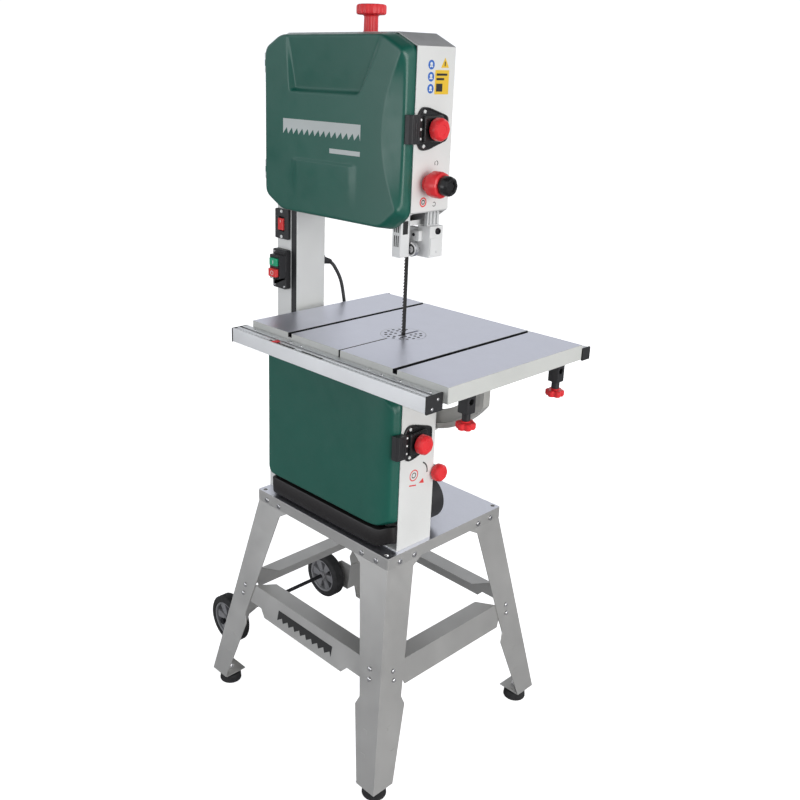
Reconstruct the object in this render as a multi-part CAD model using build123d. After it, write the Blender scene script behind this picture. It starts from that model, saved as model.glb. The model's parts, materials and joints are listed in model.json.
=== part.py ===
from build123d import *
import math
import os

# Upright band saw on a sheet-metal stand. Millimetres, +Z up, +X towards the blade side, the operator stands at -Y.
# Working frame: x from the axis of the band wheels, y from the middle of the stand's plate, z from the floor.
# save() moves every piece so that the origin is on the floor, under the centre of the machine's plan.

# ---- driving dimensions -------------------------------------------------------------------------------------
PLAN_CENTRE = (13.5, -20.75)    # centre of the whole machine's plan, in the working frame
FOOT_HEIGHT = 28.0          # rubber foot and its stud, below the leg
STAND_TOP_Z = 526.0         # upper face of the stand's plate
PLATE_HALF_X = 220.0
PLATE_HALF_Y = 186.0
SKIRT = 27.0                # downturned edge of the plate
SHEET = 2.0                 # sheet of the plate and the housings
LEG_SHEET = 2.5
LEG_SPLAY_X = 74.0          # how far a foot stands out past the leg's top
LEG_SPLAY_Y = 94.0

TABLE_Z = 983.0             # working surface
TABLE_X = (-114.0, 434.0)
TABLE_Y = (-277.0, 123.0)
TABLE_EDGE = 31.0
TABLE_PLATE = 10.0
SLOT_X = (9.5, 306.0)       # centres of the two mitre slots
SLOT_WIDTH = 10.0
SLOT_DEPTH = 8.0

WHEEL_R = 157.0             # band wheel with its tyre
WHEEL_Y = (-116.0, -88.0)
UPPER_Z = 1380.0
LOWER_Z = 755.0
BLADE_Y = (-108.0, -96.0)
BLADE_THICK = 0.8
BLADE_GAP = 0.3             # clear of the tyre, so that wheel and band never overlap
BLADE_X = WHEEL_R + BLADE_GAP + BLADE_THICK / 2

HOUSING_Y = (-150.0, -47.0) # front edge and outer rear face of both wheel housings
HOUSING_RIGHT = 210.0
COLUMN_X = (-219.0, -149.0)
COLUMN_Y = (-127.0, -45.0)
COLUMN_Z = (925.0, 1240.0)
DOOR_FRONT = -182.0
DOOR_SHEET = 2.5

TILT_AXIS = (BLADE_X, TABLE_Z)      # x and z of the table's tilt axis, in the working surface
QUADRANT_R = 211.0
QUADRANT_Y = (-44.0, -24.0)

KNOB_Y = -110.0             # height knob and latch knobs share this depth
HEIGHT_KNOB_Z = 1292.0
MOTOR_X, MOTOR_Z, MOTOR_R = -22.0, 631.0, 62.0
PULLEY_BIG, PULLEY_SMALL = 62.0, 22.0
PULLEY_Y = (-82.0, -62.0)
BELT_KNOB_Y, BELT_KNOB_Z = -40.0, 680.0
TENSION_Y = -64.0           # tension spindle, behind the plane of the wheels
TRANSPORT_X, TRANSPORT_Z, TRANSPORT_R = -346.0, 106.0, 63.0
RUN = 0.05                  # radial clearance of a running fit

os.makedirs("parts", exist_ok=True)
parts = {}


# ---- helpers ------------------------------------------------------------------------------------------------
def block(x, y, z):
    """Box from (low, high) pairs."""
    solid = Box(x[1] - x[0], y[1] - y[0], z[1] - z[0])
    return Pos((x[0] + x[1]) / 2, (y[0] + y[1]) / 2, (z[0] + z[1]) / 2) * solid


def rod(axis, start, radius, length):
    """Cylinder from a start point, along +X, +Y or +Z."""
    turn = {"x": Rot(0, 90, 0), "y": Rot(-90, 0, 0), "z": Rot(0, 0, 0)}[axis]
    bar = Cylinder(radius, length, align=(Align.CENTER, Align.CENTER, Align.MIN))
    return Pos(*start) * turn * bar


def tube(axis, start, outer, inner, length):
    return rod(axis, start, outer, length) - rod(axis, start, inner, length)


def slab(points, step):
    """Flat outline of 3-D points, pushed along the vector step."""
    face = Face(Wire.make_polygon([Vector(*p) for p in points], close=True))
    length = math.dist((0, 0, 0), step)
    return extrude(face, amount=length, dir=step)


def plate_xz(points, y):
    return slab([(px, y[0], pz) for px, pz in points], (0, y[1] - y[0], 0))


def plate_yz(points, x):
    return slab([(x[0], py, pz) for py, pz in points], (x[1] - x[0], 0, 0))


def polygon_knob(axis, start, radius, length, sides=8, bevel=2.0):
    """Faceted knob head with a bevelled rim."""
    turn = {"x": Rot(0, 90, 0), "y": Rot(-90, 0, 0), "z": Rot(0, 0, 0)}[axis]
    head = extrude(RegularPolygon(radius, sides), amount=length)
    head = chamfer(head.faces().sort_by(Axis.Z)[-1].edges(), bevel)
    return Pos(*start) * turn * head


def star_knob(start, radius, height, lobes=6):
    """Hand wheel with finger scallops, upright."""
    head = rod("z", start, radius, height)
    for k in range(lobes):
        angle = 2 * math.pi * k / lobes
        cx = start[0] + (radius + 3) * math.cos(angle)
        cy = start[1] + (radius + 3) * math.sin(angle)
        head -= rod("z", (cx, cy, start[2]), 6.0, height)
    return head


def save(name, *solids):
    shape = Compound(children=[s for group in solids for s in group.solids()])
    shape = Pos(-PLAN_CENTRE[0], -PLAN_CENTRE[1], 0) * shape
    parts[name] = shape
    export_step(shape, f"parts/{name}.step")


# ---- stand --------------------------------------------------------------------------------------------------
LEG_TOP = STAND_TOP_Z - SKIRT
LEG_X, LEG_Y = PLATE_HALF_X - SHEET, PLATE_HALF_Y - SHEET
SLOPE_X = LEG_SPLAY_X / (LEG_TOP - FOOT_HEIGHT)
SLOPE_Y = LEG_SPLAY_Y / (LEG_TOP - FOOT_HEIGHT)
FLANGE_X = [(113, LEG_TOP), (138, 483), (204, 211), (195, 190), (239, FOOT_HEIGHT)]
FLANGE_Y = [(78, LEG_TOP), (107, 483), (174, 211), (166, 190), (220, FOOT_HEIGHT)]
FOOT_X, FOOT_Y = 262.0, 246.0
SKIRT_BOLT_Z = STAND_TOP_Z - 17.0
SKIRT_BOLTS_X = (141.0, 185.0)      # distance from the middle, on the front and back skirts
SKIRT_BOLTS_Y = (106.0, 150.0)
BOLT_R = 3.0
BRACE_X_FOLD, BRACE_Y_FOLD = 291.0, 286.0
RIVET_X = [(219, 281), (222, 259)]
RIVET_Y = [(192, 277), (192, 256)]


def leg_x(z):
    return LEG_X + (LEG_TOP - z) * SLOPE_X


def leg_y(z):
    return LEG_Y + (LEG_TOP - z) * SLOPE_Y


def skirt_bolts():
    """Axis, start and direction of the bolts that join the skirt to the legs."""
    spots = []
    for sx in (-1, 1):
        for sy in (-1, 1):
            spots += [("y", sx * d, sy) for d in SKIRT_BOLTS_X]
            spots += [("x", sy * d, sx) for d in SKIRT_BOLTS_Y]
    return spots


def bolt(axis, offset, side, radius, reach_out, reach_in):
    """Cylinder through the skirt, from reach_in inside to reach_out outside its outer face."""
    face = PLATE_HALF_X if axis == "x" else PLATE_HALF_Y
    low = side * face - (reach_in if side > 0 else reach_out)
    start = (low, offset, SKIRT_BOLT_Z) if axis == "x" else (offset, low, SKIRT_BOLT_Z)
    return rod(axis, start, radius, reach_in + reach_out)


def stand_top():
    top = block((-PLATE_HALF_X, PLATE_HALF_X), (-PLATE_HALF_Y, PLATE_HALF_Y), (LEG_TOP, STAND_TOP_Z))
    top = fillet(top.edges().filter_by(Axis.Z), 5)
    inner = block((-LEG_X, LEG_X), (-LEG_Y, LEG_Y), (LEG_TOP, STAND_TOP_Z - SHEET))
    top -= fillet(inner.edges().filter_by(Axis.Z), 3)
    for sx in (-1, 1):
        for sy in (-1, 1):
            top -= rod("z", (sx * 205, sy * 175, LEG_TOP), 4.5, SKIRT + 1)
    for axis, offset, side in skirt_bolts():
        top -= bolt(axis, offset, side, BOLT_R + RUN, 1, 6)
    return top


def rivet_spots():
    """Centre on the leg's outer face and outward direction of each brace rivet."""
    spots = []
    for sx in (-1, 1):
        for sy in (-1, 1):
            spots += [("y", sx * px, sy * leg_y(z), z, sy) for px, z in RIVET_X]
            spots += [("x", sx * leg_x(z), sy * py, z, sx) for py, z in RIVET_Y]
    return spots


def rivet(spot, radius, reach_out, reach_in):
    axis, px, py, z, side = spot
    back = reach_in if side > 0 else reach_out
    start = (px - back, py, z) if axis == "x" else (px, py - back, z)
    return rod(axis, start, radius, reach_out + reach_in)


def leg(sx, sy):
    """Pressed angle leg: two splayed flanges, two upright tabs behind the skirt and a foot tab."""
    outer_x = [(leg_x(FOOT_HEIGHT), FOOT_HEIGHT), (LEG_X, LEG_TOP)]
    front = [(sx * px, sy * leg_y(z), z) for px, z in FLANGE_X + outer_x]
    outer_y = [(leg_y(FOOT_HEIGHT), FOOT_HEIGHT), (LEG_Y, LEG_TOP)]
    side = [(sx * leg_x(z), sy * py, z) for py, z in FLANGE_Y + outer_y]
    solid = slab(front, (0, -sy * LEG_SHEET, 0)) + slab(side, (-sx * LEG_SHEET, 0, 0))
    tab_z = (LEG_TOP, STAND_TOP_Z - SHEET)
    inset = 3.0                                  # clears the rounded corner inside the skirt
    solid += block(sorted((sx * 113, sx * (LEG_X - inset))), sorted((sy * LEG_Y, sy * (LEG_Y - LEG_SHEET))), tab_z)
    solid += block(sorted((sx * LEG_X, sx * (LEG_X - LEG_SHEET))), sorted((sy * 78, sy * (LEG_Y - inset))), tab_z)
    tab = block(sorted((sx * 236, sx * 290.5)), sorted((sy * 219, sy * 276.5)),
                (FOOT_HEIGHT, FOOT_HEIGHT + LEG_SHEET))
    solid += tab
    solid -= rod("z", (sx * FOOT_X, sy * FOOT_Y, FOOT_HEIGHT - 1), 5 + RUN, LEG_SHEET + 2)
    for axis, offset, side_sign in skirt_bolts():
        solid -= bolt(axis, offset, side_sign, BOLT_R + RUN, 1, 6)
    for spot in rivet_spots():
        solid -= rivet(spot, BOLT_R + RUN, 4, 8)
    return solid


def brace(points, plane_of, axis, sign, fold, ends):
    """Long rail between two legs: an upright face along the legs and a shelf folded inwards."""
    gap = LEG_SHEET
    if axis == "y":                              # runs along X, lies against the legs' front or back flange
        face = slab([(px, sign * (plane_of(z) - gap), z) for px, z in points], (0, -sign * SHEET, 0))
        y0 = sign * (plane_of(fold) - gap)
        y1 = sign * (plane_of(fold) - gap - 42)
        shelf = slab([(-ends[0], y0, fold), (ends[0], y0, fold), (ends[1], y1, fold), (-ends[1], y1, fold)],
                     (0, 0, SHEET))
    else:
        face = slab([(sign * (plane_of(z) - gap), py, z) for py, z in points], (-sign * SHEET, 0, 0))
        x0 = sign * (plane_of(fold) - gap)
        x1 = sign * (plane_of(fold) - gap - 42)
        shelf = slab([(x0, -ends[0], fold), (x0, ends[0], fold), (x1, ends[1], fold), (x1, -ends[1], fold)],
                     (0, 0, SHEET))
    return face + shelf


def braces():
    made = []
    along_x = [(-234, BRACE_X_FOLD), (-234, 248), (-152, 248), (-136, 231),
               (136, 231), (152, 248), (234, 248), (234, BRACE_X_FOLD)]
    along_y = [(-206, BRACE_Y_FOLD), (-206, 245), (-164, 245), (-158, 231),
               (158, 231), (164, 245), (206, 245), (206, BRACE_Y_FOLD)]
    for sign in (-1, 1):
        made.append(brace(along_x, leg_y, "y", sign, BRACE_X_FOLD, (186, 156)))
        made.append(brace(along_y, leg_x, "x", sign, BRACE_Y_FOLD, (158, 132)))
    for spot in rivet_spots():
        hole = rivet(spot, BOLT_R + RUN, 4, 8)
        made = [m - hole for m in made]
    return made


def fasteners():
    made = []
    for axis, offset, side in skirt_bolts():
        shank = bolt(axis, offset, side, BOLT_R, 0, 5)
        head = bolt(axis, offset, side, 5.5, 3, 0)
        made.append(shank + head)
    for spot in rivet_spots():
        shank = rivet(spot, BOLT_R, 1.5, 5)
        axis, px, py, z, side = spot
        lift = 1.2                               # the leg leans, so the head sits on its higher edge
        out = (axis, px + side * lift, py, z, side) if axis == "x" else (axis, px, py + side * lift, z, side)
        made.append(shank + rivet(out, 5.0, 2.4, 0))
    return made


def feet():
    made = []
    for sx in (-1, 1):
        for sy in (-1, 1):
            x, y = sx * FOOT_X, sy * FOOT_Y
            pad = Pos(x, y, 0) * Cone(27, 25, 20, align=(Align.CENTER, Align.CENTER, Align.MIN))
            made.append(pad)
            made.append(rod("z", (x, y, 20), 5, 22) + rod("z", (x, y, 20), 9, FOOT_HEIGHT - 20)
                        + rod("z", (x, y, FOOT_HEIGHT + LEG_SHEET), 9, 6))
    return made


def transport():
    """Axle on two ears behind the left legs, with a wheel at each end."""
    axle = rod("y", (TRANSPORT_X, -212, TRANSPORT_Z), 5, 396)
    nuts = [rod("y", (TRANSPORT_X, y, TRANSPORT_Z), 8, 5) for y in (-212, 179)]
    for nut in nuts:
        axle += nut
    save("transport_axle", axle)
    ears = []
    for y0, sy, low, high in ((-161.0, -1, 165.0, 222.0), (171.5, 1, 78.0, 158.0)):
        ear_y = (y0, y0 + 3.5)
        behind = LEG_SHEET + 3.0                 # the wing lies on the inner face of the leg's flange
        ear = plate_xz([(TRANSPORT_X - 12, TRANSPORT_Z - 13), (TRANSPORT_X - 12, TRANSPORT_Z + 13),
                        (TRANSPORT_X + 40, high), (behind - leg_x(high), high), (behind - leg_x(low), low),
                        (TRANSPORT_X + 14, min(low, TRANSPORT_Z - 13))], ear_y)
        ear -= rod("y", (TRANSPORT_X, y0 - 1, TRANSPORT_Z), 5 + RUN, 6)
        near, far = (ear_y[0], -232) if sy < 0 else (ear_y[1], 236)
        corners = ((near, low), (far, low), (far, high), (near, high))
        wing = slab([(behind - leg_x(z), yy, z) for yy, z in corners], (-3, 0, 0))
        ears += (ear + wing).solids()
    save("stand_braces", *braces(), *ears)
    for name, y in (("front", -200.0), ("rear", 133.0)):
        hub = tube("y", (TRANSPORT_X, y + 2, TRANSPORT_Z), 47, 40, 31)
        hub += tube("y", (TRANSPORT_X, y - 2, TRANSPORT_Z), 13, 5 + RUN, 37)
        hub += tube("y", (TRANSPORT_X, y + 13, TRANSPORT_Z), 41, 12, 5)
        for k in range(6):
            spoke = block((12, 42), (-3, 3), (-3, 3))
            hub += Pos(TRANSPORT_X, y + 9, TRANSPORT_Z) * Rot(0, 60 * k, 0) * spoke
        tyre = tube("y", (TRANSPORT_X, y, TRANSPORT_Z), TRANSPORT_R, 47, 35)
        save(f"transport_wheel_{name}", hub, tyre)


# ---- housings and column ------------------------------------------------------------------------------------
UPPER_OUTLINE = [(-210, COLUMN_Z[1]), (-147, COLUMN_Z[1]), (-147, 1203), (160, 1203), (HOUSING_RIGHT, 1239),
                 (HOUSING_RIGHT, 1537), (160, 1561), (-152, 1561), (-210, 1537)]
LOWER_OUTLINE = [(-219, STAND_TOP_Z), (HOUSING_RIGHT, STAND_TOP_Z), (HOUSING_RIGHT, 860), (140, COLUMN_Z[0]),
                 (-219, COLUMN_Z[0])]


def shell(outline, y):
    """Sheet box open at the front: the outline's wall and a rear wall."""
    outer = plate_xz(outline, y)
    inner_face = Face(Wire.make_polygon([Vector(px, y[0], pz) for px, pz in outline], close=True))
    inner_face = offset(inner_face, amount=-SHEET)
    inner = extrude(inner_face, amount=y[1] - y[0] - SHEET, dir=(0, 1, 0))
    return outer - inner


def upper_housing():
    body = shell(UPPER_OUTLINE, HOUSING_Y)
    body -= block((-164, -151), (-124, -84), (COLUMN_Z[1] - 1, COLUMN_Z[1] + 4))       # return run of the band
    body -= block((138, 205), (-140, -50), (1195, 1236))                               # guide post and guard
    body -= rod("z", (0, TENSION_Y, 1555), 5 + RUN, 10)                                # tension spindle
    body -= block((-9, 9), (-52, -40), (UPPER_Z - 36, UPPER_Z - 12))                   # tracking screw slot
    for z in (1240, 1326):                                                             # guides of the post
        sleeve = block((180, HOUSING_RIGHT - 1), (-92, -46), (z, z + 26))
        body += sleeve - block((186 - RUN, 194 + RUN), (-86 - RUN, -52 + RUN), (z - 1, z + 27))
    return body - rod("x", (HOUSING_RIGHT - 5, KNOB_Y, HEIGHT_KNOB_Z), 5 + RUN, 10)


def lower_housing():
    body = shell(LOWER_OUTLINE, HOUSING_Y)
    body += block((-219, -199), (HOUSING_Y[0], HOUSING_Y[0] + SHEET), (STAND_TOP_Z, COLUMN_Z[0]))   # hinge strip
    body -= block((-165, -151), (-124, -84), (COLUMN_Z[0] - 4, COLUMN_Z[0] + 1))
    body -= block((147, 168), (-112, -84), (885, 930))
    body -= rod("y", (0, -52, LOWER_Z), 28 + RUN, 10)
    body -= rod("y", (MOTOR_X, -52, MOTOR_Z), 20, 10)
    body -= rod("y", (150, -52, 588), 47.2, 10)
    for x in (70, 196):                                                                # ears of the belt spindle
        ear = block((x, x + 6), (HOUSING_Y[1], -30), (BELT_KNOB_Z - 10, BELT_KNOB_Z + 10))
        body += ear - rod("x", (x - 1, BELT_KNOB_Y, BELT_KNOB_Z), 4.5 + RUN, 8)
    return body


def column():
    body = block(COLUMN_X, COLUMN_Y, COLUMN_Z)
    body = fillet(body.edges().filter_by(Axis.Z), 3)
    body -= block((COLUMN_X[0] + 2, COLUMN_X[1] - 2), (COLUMN_Y[0] + 2, COLUMN_Y[1] - 2), (900, 1260))
    body -= block((-169, -151.5), (COLUMN_Y[0] - 1, COLUMN_Y[0] + 3), (900, 1260))
    body -= rod("y", (LEAD_ROUTE[0][0], COLUMN_Y[1] - 4, LEAD_ROUTE[0][2]), 8 + RUN, 8)
    return body


# ---- doors --------------------------------------------------------------------------------------------------
def door(rim, front, y_rim):
    """Hollow tray, narrower at its front face."""
    def layer(points, y):
        return Face(Wire.make_polygon([Vector(px, y, pz) for px, pz in points], close=True))

    def skin(inset, front_y):
        a = offset(layer(rim, y_rim), amount=-inset) if inset else layer(rim, y_rim)
        b = offset(layer(front, front_y), amount=-inset) if inset else layer(front, front_y)
        return loft([a, b])
    return skin(0, DOOR_FRONT) - skin(DOOR_SHEET, DOOR_FRONT + DOOR_SHEET)


HINGES = {"upper": (-216.5, -154.5, (1275, 1495)), "lower": (-203.5, -155.5, (640, 830))}
KNUCKLE = 13.0
UPPER_RIM = [(-208, 1228), (-148, 1202), (170, 1202), (209, 1232), (209, 1536), (158, 1560), (-150, 1560),
             (-208, 1536)]
UPPER_FRONT = [(-190, 1236), (-136, 1207), (158, 1207), (206, 1245), (206, 1528), (150, 1556), (-142, 1556),
               (-190, 1530)]
LOWER_RIM = [(-196, 588), (-186, 578), (180, 578), (209, 596), (209, 856), (142, 918), (-180, 918), (-196, 902)]
LOWER_FRONT = [(-184, 594), (-176, 582), (172, 582), (203, 602), (203, 846), (134, 912), (-168, 912),
               (-184, 896)]


def knuckle_set(which):
    """Door eye, the two fixed ears and the pin of each of a door's two hinges."""
    hx, hy, heights = HINGES[which]
    eyes, ears, pins = [], [], []
    for z in heights:
        leaf_to = -208 if which == "upper" else -196
        eye = rod("z", (hx, hy, z), 5.5, KNUCKLE)
        eye += block((hx, leaf_to + 4.5), (hy - 1.5, hy + 1.5), (z, z + KNUCKLE))
        eyes.append(eye - rod("z", (hx, hy, z - 1), 3 + RUN, KNUCKLE + 2))
        for low in (z - KNUCKLE - 0.4, z + KNUCKLE + 0.4):
            ear = rod("z", (hx, hy, low), 5.5, KNUCKLE)
            wall_x = -212 if which == "upper" else -206
            ear += block((hx - 5.5, wall_x), (hy, HOUSING_Y[0] + 12 if which == "upper" else HOUSING_Y[0]),
                         (low, low + KNUCKLE))
            if which == "upper":
                ear += block((-216, -210), (HOUSING_Y[0] + 2, HOUSING_Y[0] + 16), (low, low + KNUCKLE))
            ears.append(ear - rod("z", (hx, hy, low - 1), 3, KNUCKLE + 2))
        pins.append(rod("z", (hx, hy, z - KNUCKLE - 0.4), 3, 3 * KNUCKLE + 0.8))
    return eyes, ears, pins


def doors():
    pins = []
    for which, rim, front in (("upper", UPPER_RIM, UPPER_FRONT), ("lower", LOWER_RIM, LOWER_FRONT)):
        eyes, ears, pin = knuckle_set(which)
        leaf = door(rim, front, HOUSING_Y[0] - 1.0)
        for eye in eyes:
            leaf += eye
        save(f"{which}_door", leaf)
        body = upper_housing() if which == "upper" else lower_housing()
        for ear in ears:
            body += ear
        save(f"{which}_housing", body)
        pins += pin
    save("hinge_pins", *pins)


# ---- latches ------------------------------------------------------------------------------------------------
LATCH_Z = {"upper": 1392.0, "lower": 768.0}


def latches():
    brackets = []
    for which, z in LATCH_Z.items():
        plate = plate_yz([(-145, z - 24), (-134, z - 37), (-118, z - 37), (-62, z - 20), (-62, z + 20),
                          (-118, z + 37), (-134, z + 37), (-145, z + 24)], (HOUSING_RIGHT, HOUSING_RIGHT + 4))
        body = plate + block((HOUSING_RIGHT + 3, HOUSING_RIGHT + 14), (-143, -84), (z - 24, z + 24))
        body -= rod("x", (HOUSING_RIGHT - 1, KNOB_Y, z), 5 + RUN, 20)
        brackets.append(body)
        side = {"upper": 207.2, "lower": 205.2}[which]            # the door's side wall at the block's front
        outline = [(209.3, -151), (HOUSING_RIGHT + 0.2, -150.5), (HOUSING_RIGHT + 0.2, -147.5),
                   (HOUSING_RIGHT + 13, -147.5), (HOUSING_RIGHT + 13, -168), (HOUSING_RIGHT + 8, -173), (side, -173)]
        save(f"{which}_latch_block", slab([(px, py, z - 26) for px, py in outline], (0, 0, 52)))
        knob = polygon_knob("x", (HOUSING_RIGHT + 17, KNOB_Y, z), 22, 19, bevel=3)
        knob += rod("x", (HOUSING_RIGHT + 0.5, KNOB_Y, z), 5, 18)
        save(f"{which}_latch_knob", knob)
    save("latch_brackets", *brackets)


# ---- band wheels and drive ----------------------------------------------------------------------------------
def band_wheel(z, pulley):
    """Cast wheel: rim, web with six round windows, hub; the lower one carries the belt pulley."""
    rim_r = WHEEL_R - 3
    y0, y1 = WHEEL_Y
    wheel = tube("y", (0, y0, z), rim_r, rim_r - 9, y1 - y0)
    wheel += tube("y", (0, -105, z), rim_r - 8, 20, 6)
    wheel += tube("y", (0, y0 + 1, z), 26, 15 if pulley else 16, y1 - y0 - 2)
    for k in range(6):
        angle = math.pi / 3 * k
        wheel -= rod("y", (92 * math.cos(angle), -110, z + 92 * math.sin(angle)), 34, 16)
    if pulley:
        ring = tube("y", (0, -100, z), PULLEY_BIG, PULLEY_BIG - 8, PULLEY_Y[1] + 100)
        wheel += ring
    tyre = tube("y", (0, y0 + 1, z), WHEEL_R, rim_r, y1 - y0 - 2)
    return wheel, tyre


def stadium(r, y, z_low, z_high, r_top=None, x_top=0.0, x_low=0.0):
    """Prism around two wheels of equal or different radius, seen along Y."""
    r_top = r if r_top is None else r_top
    dist = math.dist((x_low, z_low), (x_top, z_high))
    lean = math.atan2(x_top - x_low, z_high - z_low)
    open_angle = math.asin((r - r_top) / dist)
    pts = []
    for side in (1, -1):
        for cx, cz, rad in ((x_low, z_low, r), (x_top, z_high, r_top)):
            a = side * (math.pi / 2 - open_angle)
            ang = math.pi / 2 - lean - a
            pts.append((cx + rad * math.cos(ang), cz + rad * math.sin(ang)))
    quad = plate_xz([pts[0], pts[1], pts[3], pts[2]], y)
    solid = rod("y", (x_low, y[0], z_low), r, y[1] - y[0]) + rod("y", (x_top, y[0], z_high), r_top, y[1] - y[0])
    return solid + quad


def drive():
    upper, upper_tyre = band_wheel(UPPER_Z, False)
    lower, lower_tyre = band_wheel(LOWER_Z, True)
    save("upper_wheel", upper)
    save("upper_tyre", upper_tyre)
    save("lower_tyre", lower_tyre)

    r_in = WHEEL_R + BLADE_GAP
    loop = stadium(r_in + BLADE_THICK, BLADE_Y, LOWER_Z, UPPER_Z) - stadium(r_in, BLADE_Y, LOWER_Z, UPPER_Z)
    save("blade", loop)

    # upper wheel's axle on its carrier, two ball bearings between them
    axle = rod("y", (0, -117, UPPER_Z), 8, 45)
    bearings = [tube("y", (0, y, UPPER_Z), 16, 8 + RUN, 8) for y in (-113, -99)]
    carrier = block((-32, 32), (-78, -54), (UPPER_Z - 42, UPPER_Z + 42))
    carrier -= rod("y", (0, -80, UPPER_Z), 8, 9)
    carrier -= rod("z", (0, TENSION_Y, UPPER_Z + 10), 7, 60)
    carrier += tube("z", (0, TENSION_Y, UPPER_Z + 36), 12, 5 + RUN, 8)
    save("wheel_carrier", carrier + axle, *bearings)
    rails = []
    for side in (-1, 1):
        rail = block(sorted((side * 32.3, side * 40)), (-76, -49), (UPPER_Z - 75, UPPER_Z + 75))
        rail += block(sorted((side * 26, side * 40)), (-53.7, -49), (UPPER_Z - 75, UPPER_Z + 75))
        rails.append(rail)

    # tension spindle with the red hand knob above the housing
    y = TENSION_Y
    knob = rod("z", (0, y, 1563), 15, 34) + rod("z", (0, y, 1596), 30, 20)
    for k in range(14):
        angle = 2 * math.pi * k / 14
        knob -= rod("z", (31 * math.cos(angle), y + 31 * math.sin(angle), 1590), 3, 30)
    save("tension_knob", knob + rod("z", (0, y, UPPER_Z + 20), 5, 185))
    collar = tube("z", (0, y, 1547), 12, 5 + RUN, 12)
    save("carrier_rails", *rails, collar)
    spring = tube("z", (0, y, UPPER_Z + 45), 11, 6, 1546 - UPPER_Z - 45)
    save("tension_spring", spring)
    tracking = rod("y", (0, -53.5, UPPER_Z - 18), 4, 40) + polygon_knob("y", (0, -30, UPPER_Z - 18), 22, 20)
    save("tracking_knob", tracking)

    # lower shaft in its bearing housing on the rear wall
    shaft = rod("y", (0, -114, LOWER_Z), 15 - RUN, 94)
    save("lower_wheel", lower, shaft)
    flange = tube("y", (0, -47, LOWER_Z), 45, 15, 8) + tube("y", (0, -58, LOWER_Z), 28, 15, 44)
    save("shaft_housing", flange)

    # motor behind the lower housing, belt and small pulley inside it
    motor = rod("y", (MOTOR_X, -47, MOTOR_Z), MOTOR_R - 4, 150)
    for k in range(20):
        fin = block((-1.5, 1.5), (-35, 95), (MOTOR_R - 6, MOTOR_R - 0.5))
        motor += Pos(MOTOR_X, 0, MOTOR_Z) * Rot(0, 18 * k, 0) * fin
    motor -= rod("y", (MOTOR_X, -48, MOTOR_Z), 8 + RUN, 40)
    save("motor", motor)
    cover = rod("y", (MOTOR_X, 103, MOTOR_Z), MOTOR_R, 44)
    cover = fillet(cover.edges().sort_by(Axis.Y)[-1], 8) - rod("y", (MOTOR_X, 102, MOTOR_Z), MOTOR_R - 3, 40)
    box = block((MOTOR_X - 34, MOTOR_X + 34), (0, 76), (MOTOR_Z + MOTOR_R + 0.2, MOTOR_Z + MOTOR_R + 36))
    box = fillet(box.edges().filter_by(Axis.Z), 6)
    save("motor_covers", cover, box - rod("x", (MOTOR_X - 40, 38, MOTOR_Z + MOTOR_R + 18), 4.2, 12))
    pulley = rod("y", (MOTOR_X, PULLEY_Y[0], MOTOR_Z), PULLEY_SMALL, 20) + rod("y", (MOTOR_X, -82, MOTOR_Z), 8, 70)
    save("motor_pulley", pulley)
    wide = stadium(PULLEY_BIG + 4.3, (-80, -64), LOWER_Z, MOTOR_Z, PULLEY_SMALL + 4.3, MOTOR_X)
    save("drive_belt", wide - stadium(PULLEY_BIG + 0.3, (-80, -64), LOWER_Z, MOTOR_Z, PULLEY_SMALL + 0.3, MOTOR_X))

    knob = polygon_knob("x", (HOUSING_RIGHT + 2, BELT_KNOB_Y, BELT_KNOB_Z), 20, 18, bevel=3)
    knob += rod("x", (48, BELT_KNOB_Y, BELT_KNOB_Z), 4.5, 168)
    save("belt_tension_knob", knob)
    port = tube("y", (150, -47, 588), 50, 47, 52) + tube("y", (150, -47, 588), 56, 47, 5)
    save("dust_port", port)


# ---- motor lead ---------------------------------------------------------------------------------------------
LEAD_ROUTE = [(-163, -43, 1076), (-160, -14, 1068), (-146, 2, 1030), (-136, 6, 975), (-132, 8, 915),
              (-130, 14, 855), (-124, 24, 798), (-108, 34, 750), (-84, 38, 716), (-56, 38, 711)]
LEAD_R = 4.0


def motor_lead():
    """Lead from the column's boot to the motor's terminal box, one path of straight runs and large arcs."""
    points = [Vector(*p) for p in LEAD_ROUTE]
    radii = []
    for a, b, c in zip(points, points[1:], points[2:]):
        turn = math.radians((b - a).get_angle(c - b))
        radii.append(0.45 * min((b - a).length, (c - b).length) / math.tan(turn / 2))
    print("lead radii", [round(r, 1) for r in radii])
    path = FilletPolyline(*points, radius=radii)
    section = Plane(origin=points[0], z_dir=points[1] - points[0]) * Circle(LEAD_R)
    lead = sweep(section, path=path)
    print("lead length", round(path.length, 1), "volume / (area x length)",
          round(lead.volume / (math.pi * LEAD_R ** 2 * path.length), 4))
    boot = tube("y", (points[0].X, COLUMN_Y[1], points[0].Z), 13, LEAD_R + 2, 4)
    boot += tube("y", (points[0].X, COLUMN_Y[1] - 3, points[0].Z), 8, LEAD_R + 2, 4)
    save("motor_lead", lead, boot)


# ---- blade guides -------------------------------------------------------------------------------------------
GUIDE_LOW = 1145.0
PINION_R = 23.7             # drives the front edge of the guide post
ROLLER_R, ROLLER_Z = 14.5, 1160.0
ROLLER_GAP = BLADE_THICK / 2 + 0.3      # from the middle of the blade to a side roller
ROLLER_X = (BLADE_X - ROLLER_GAP - ROLLER_R, BLADE_X + ROLLER_GAP + ROLLER_R)


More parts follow.
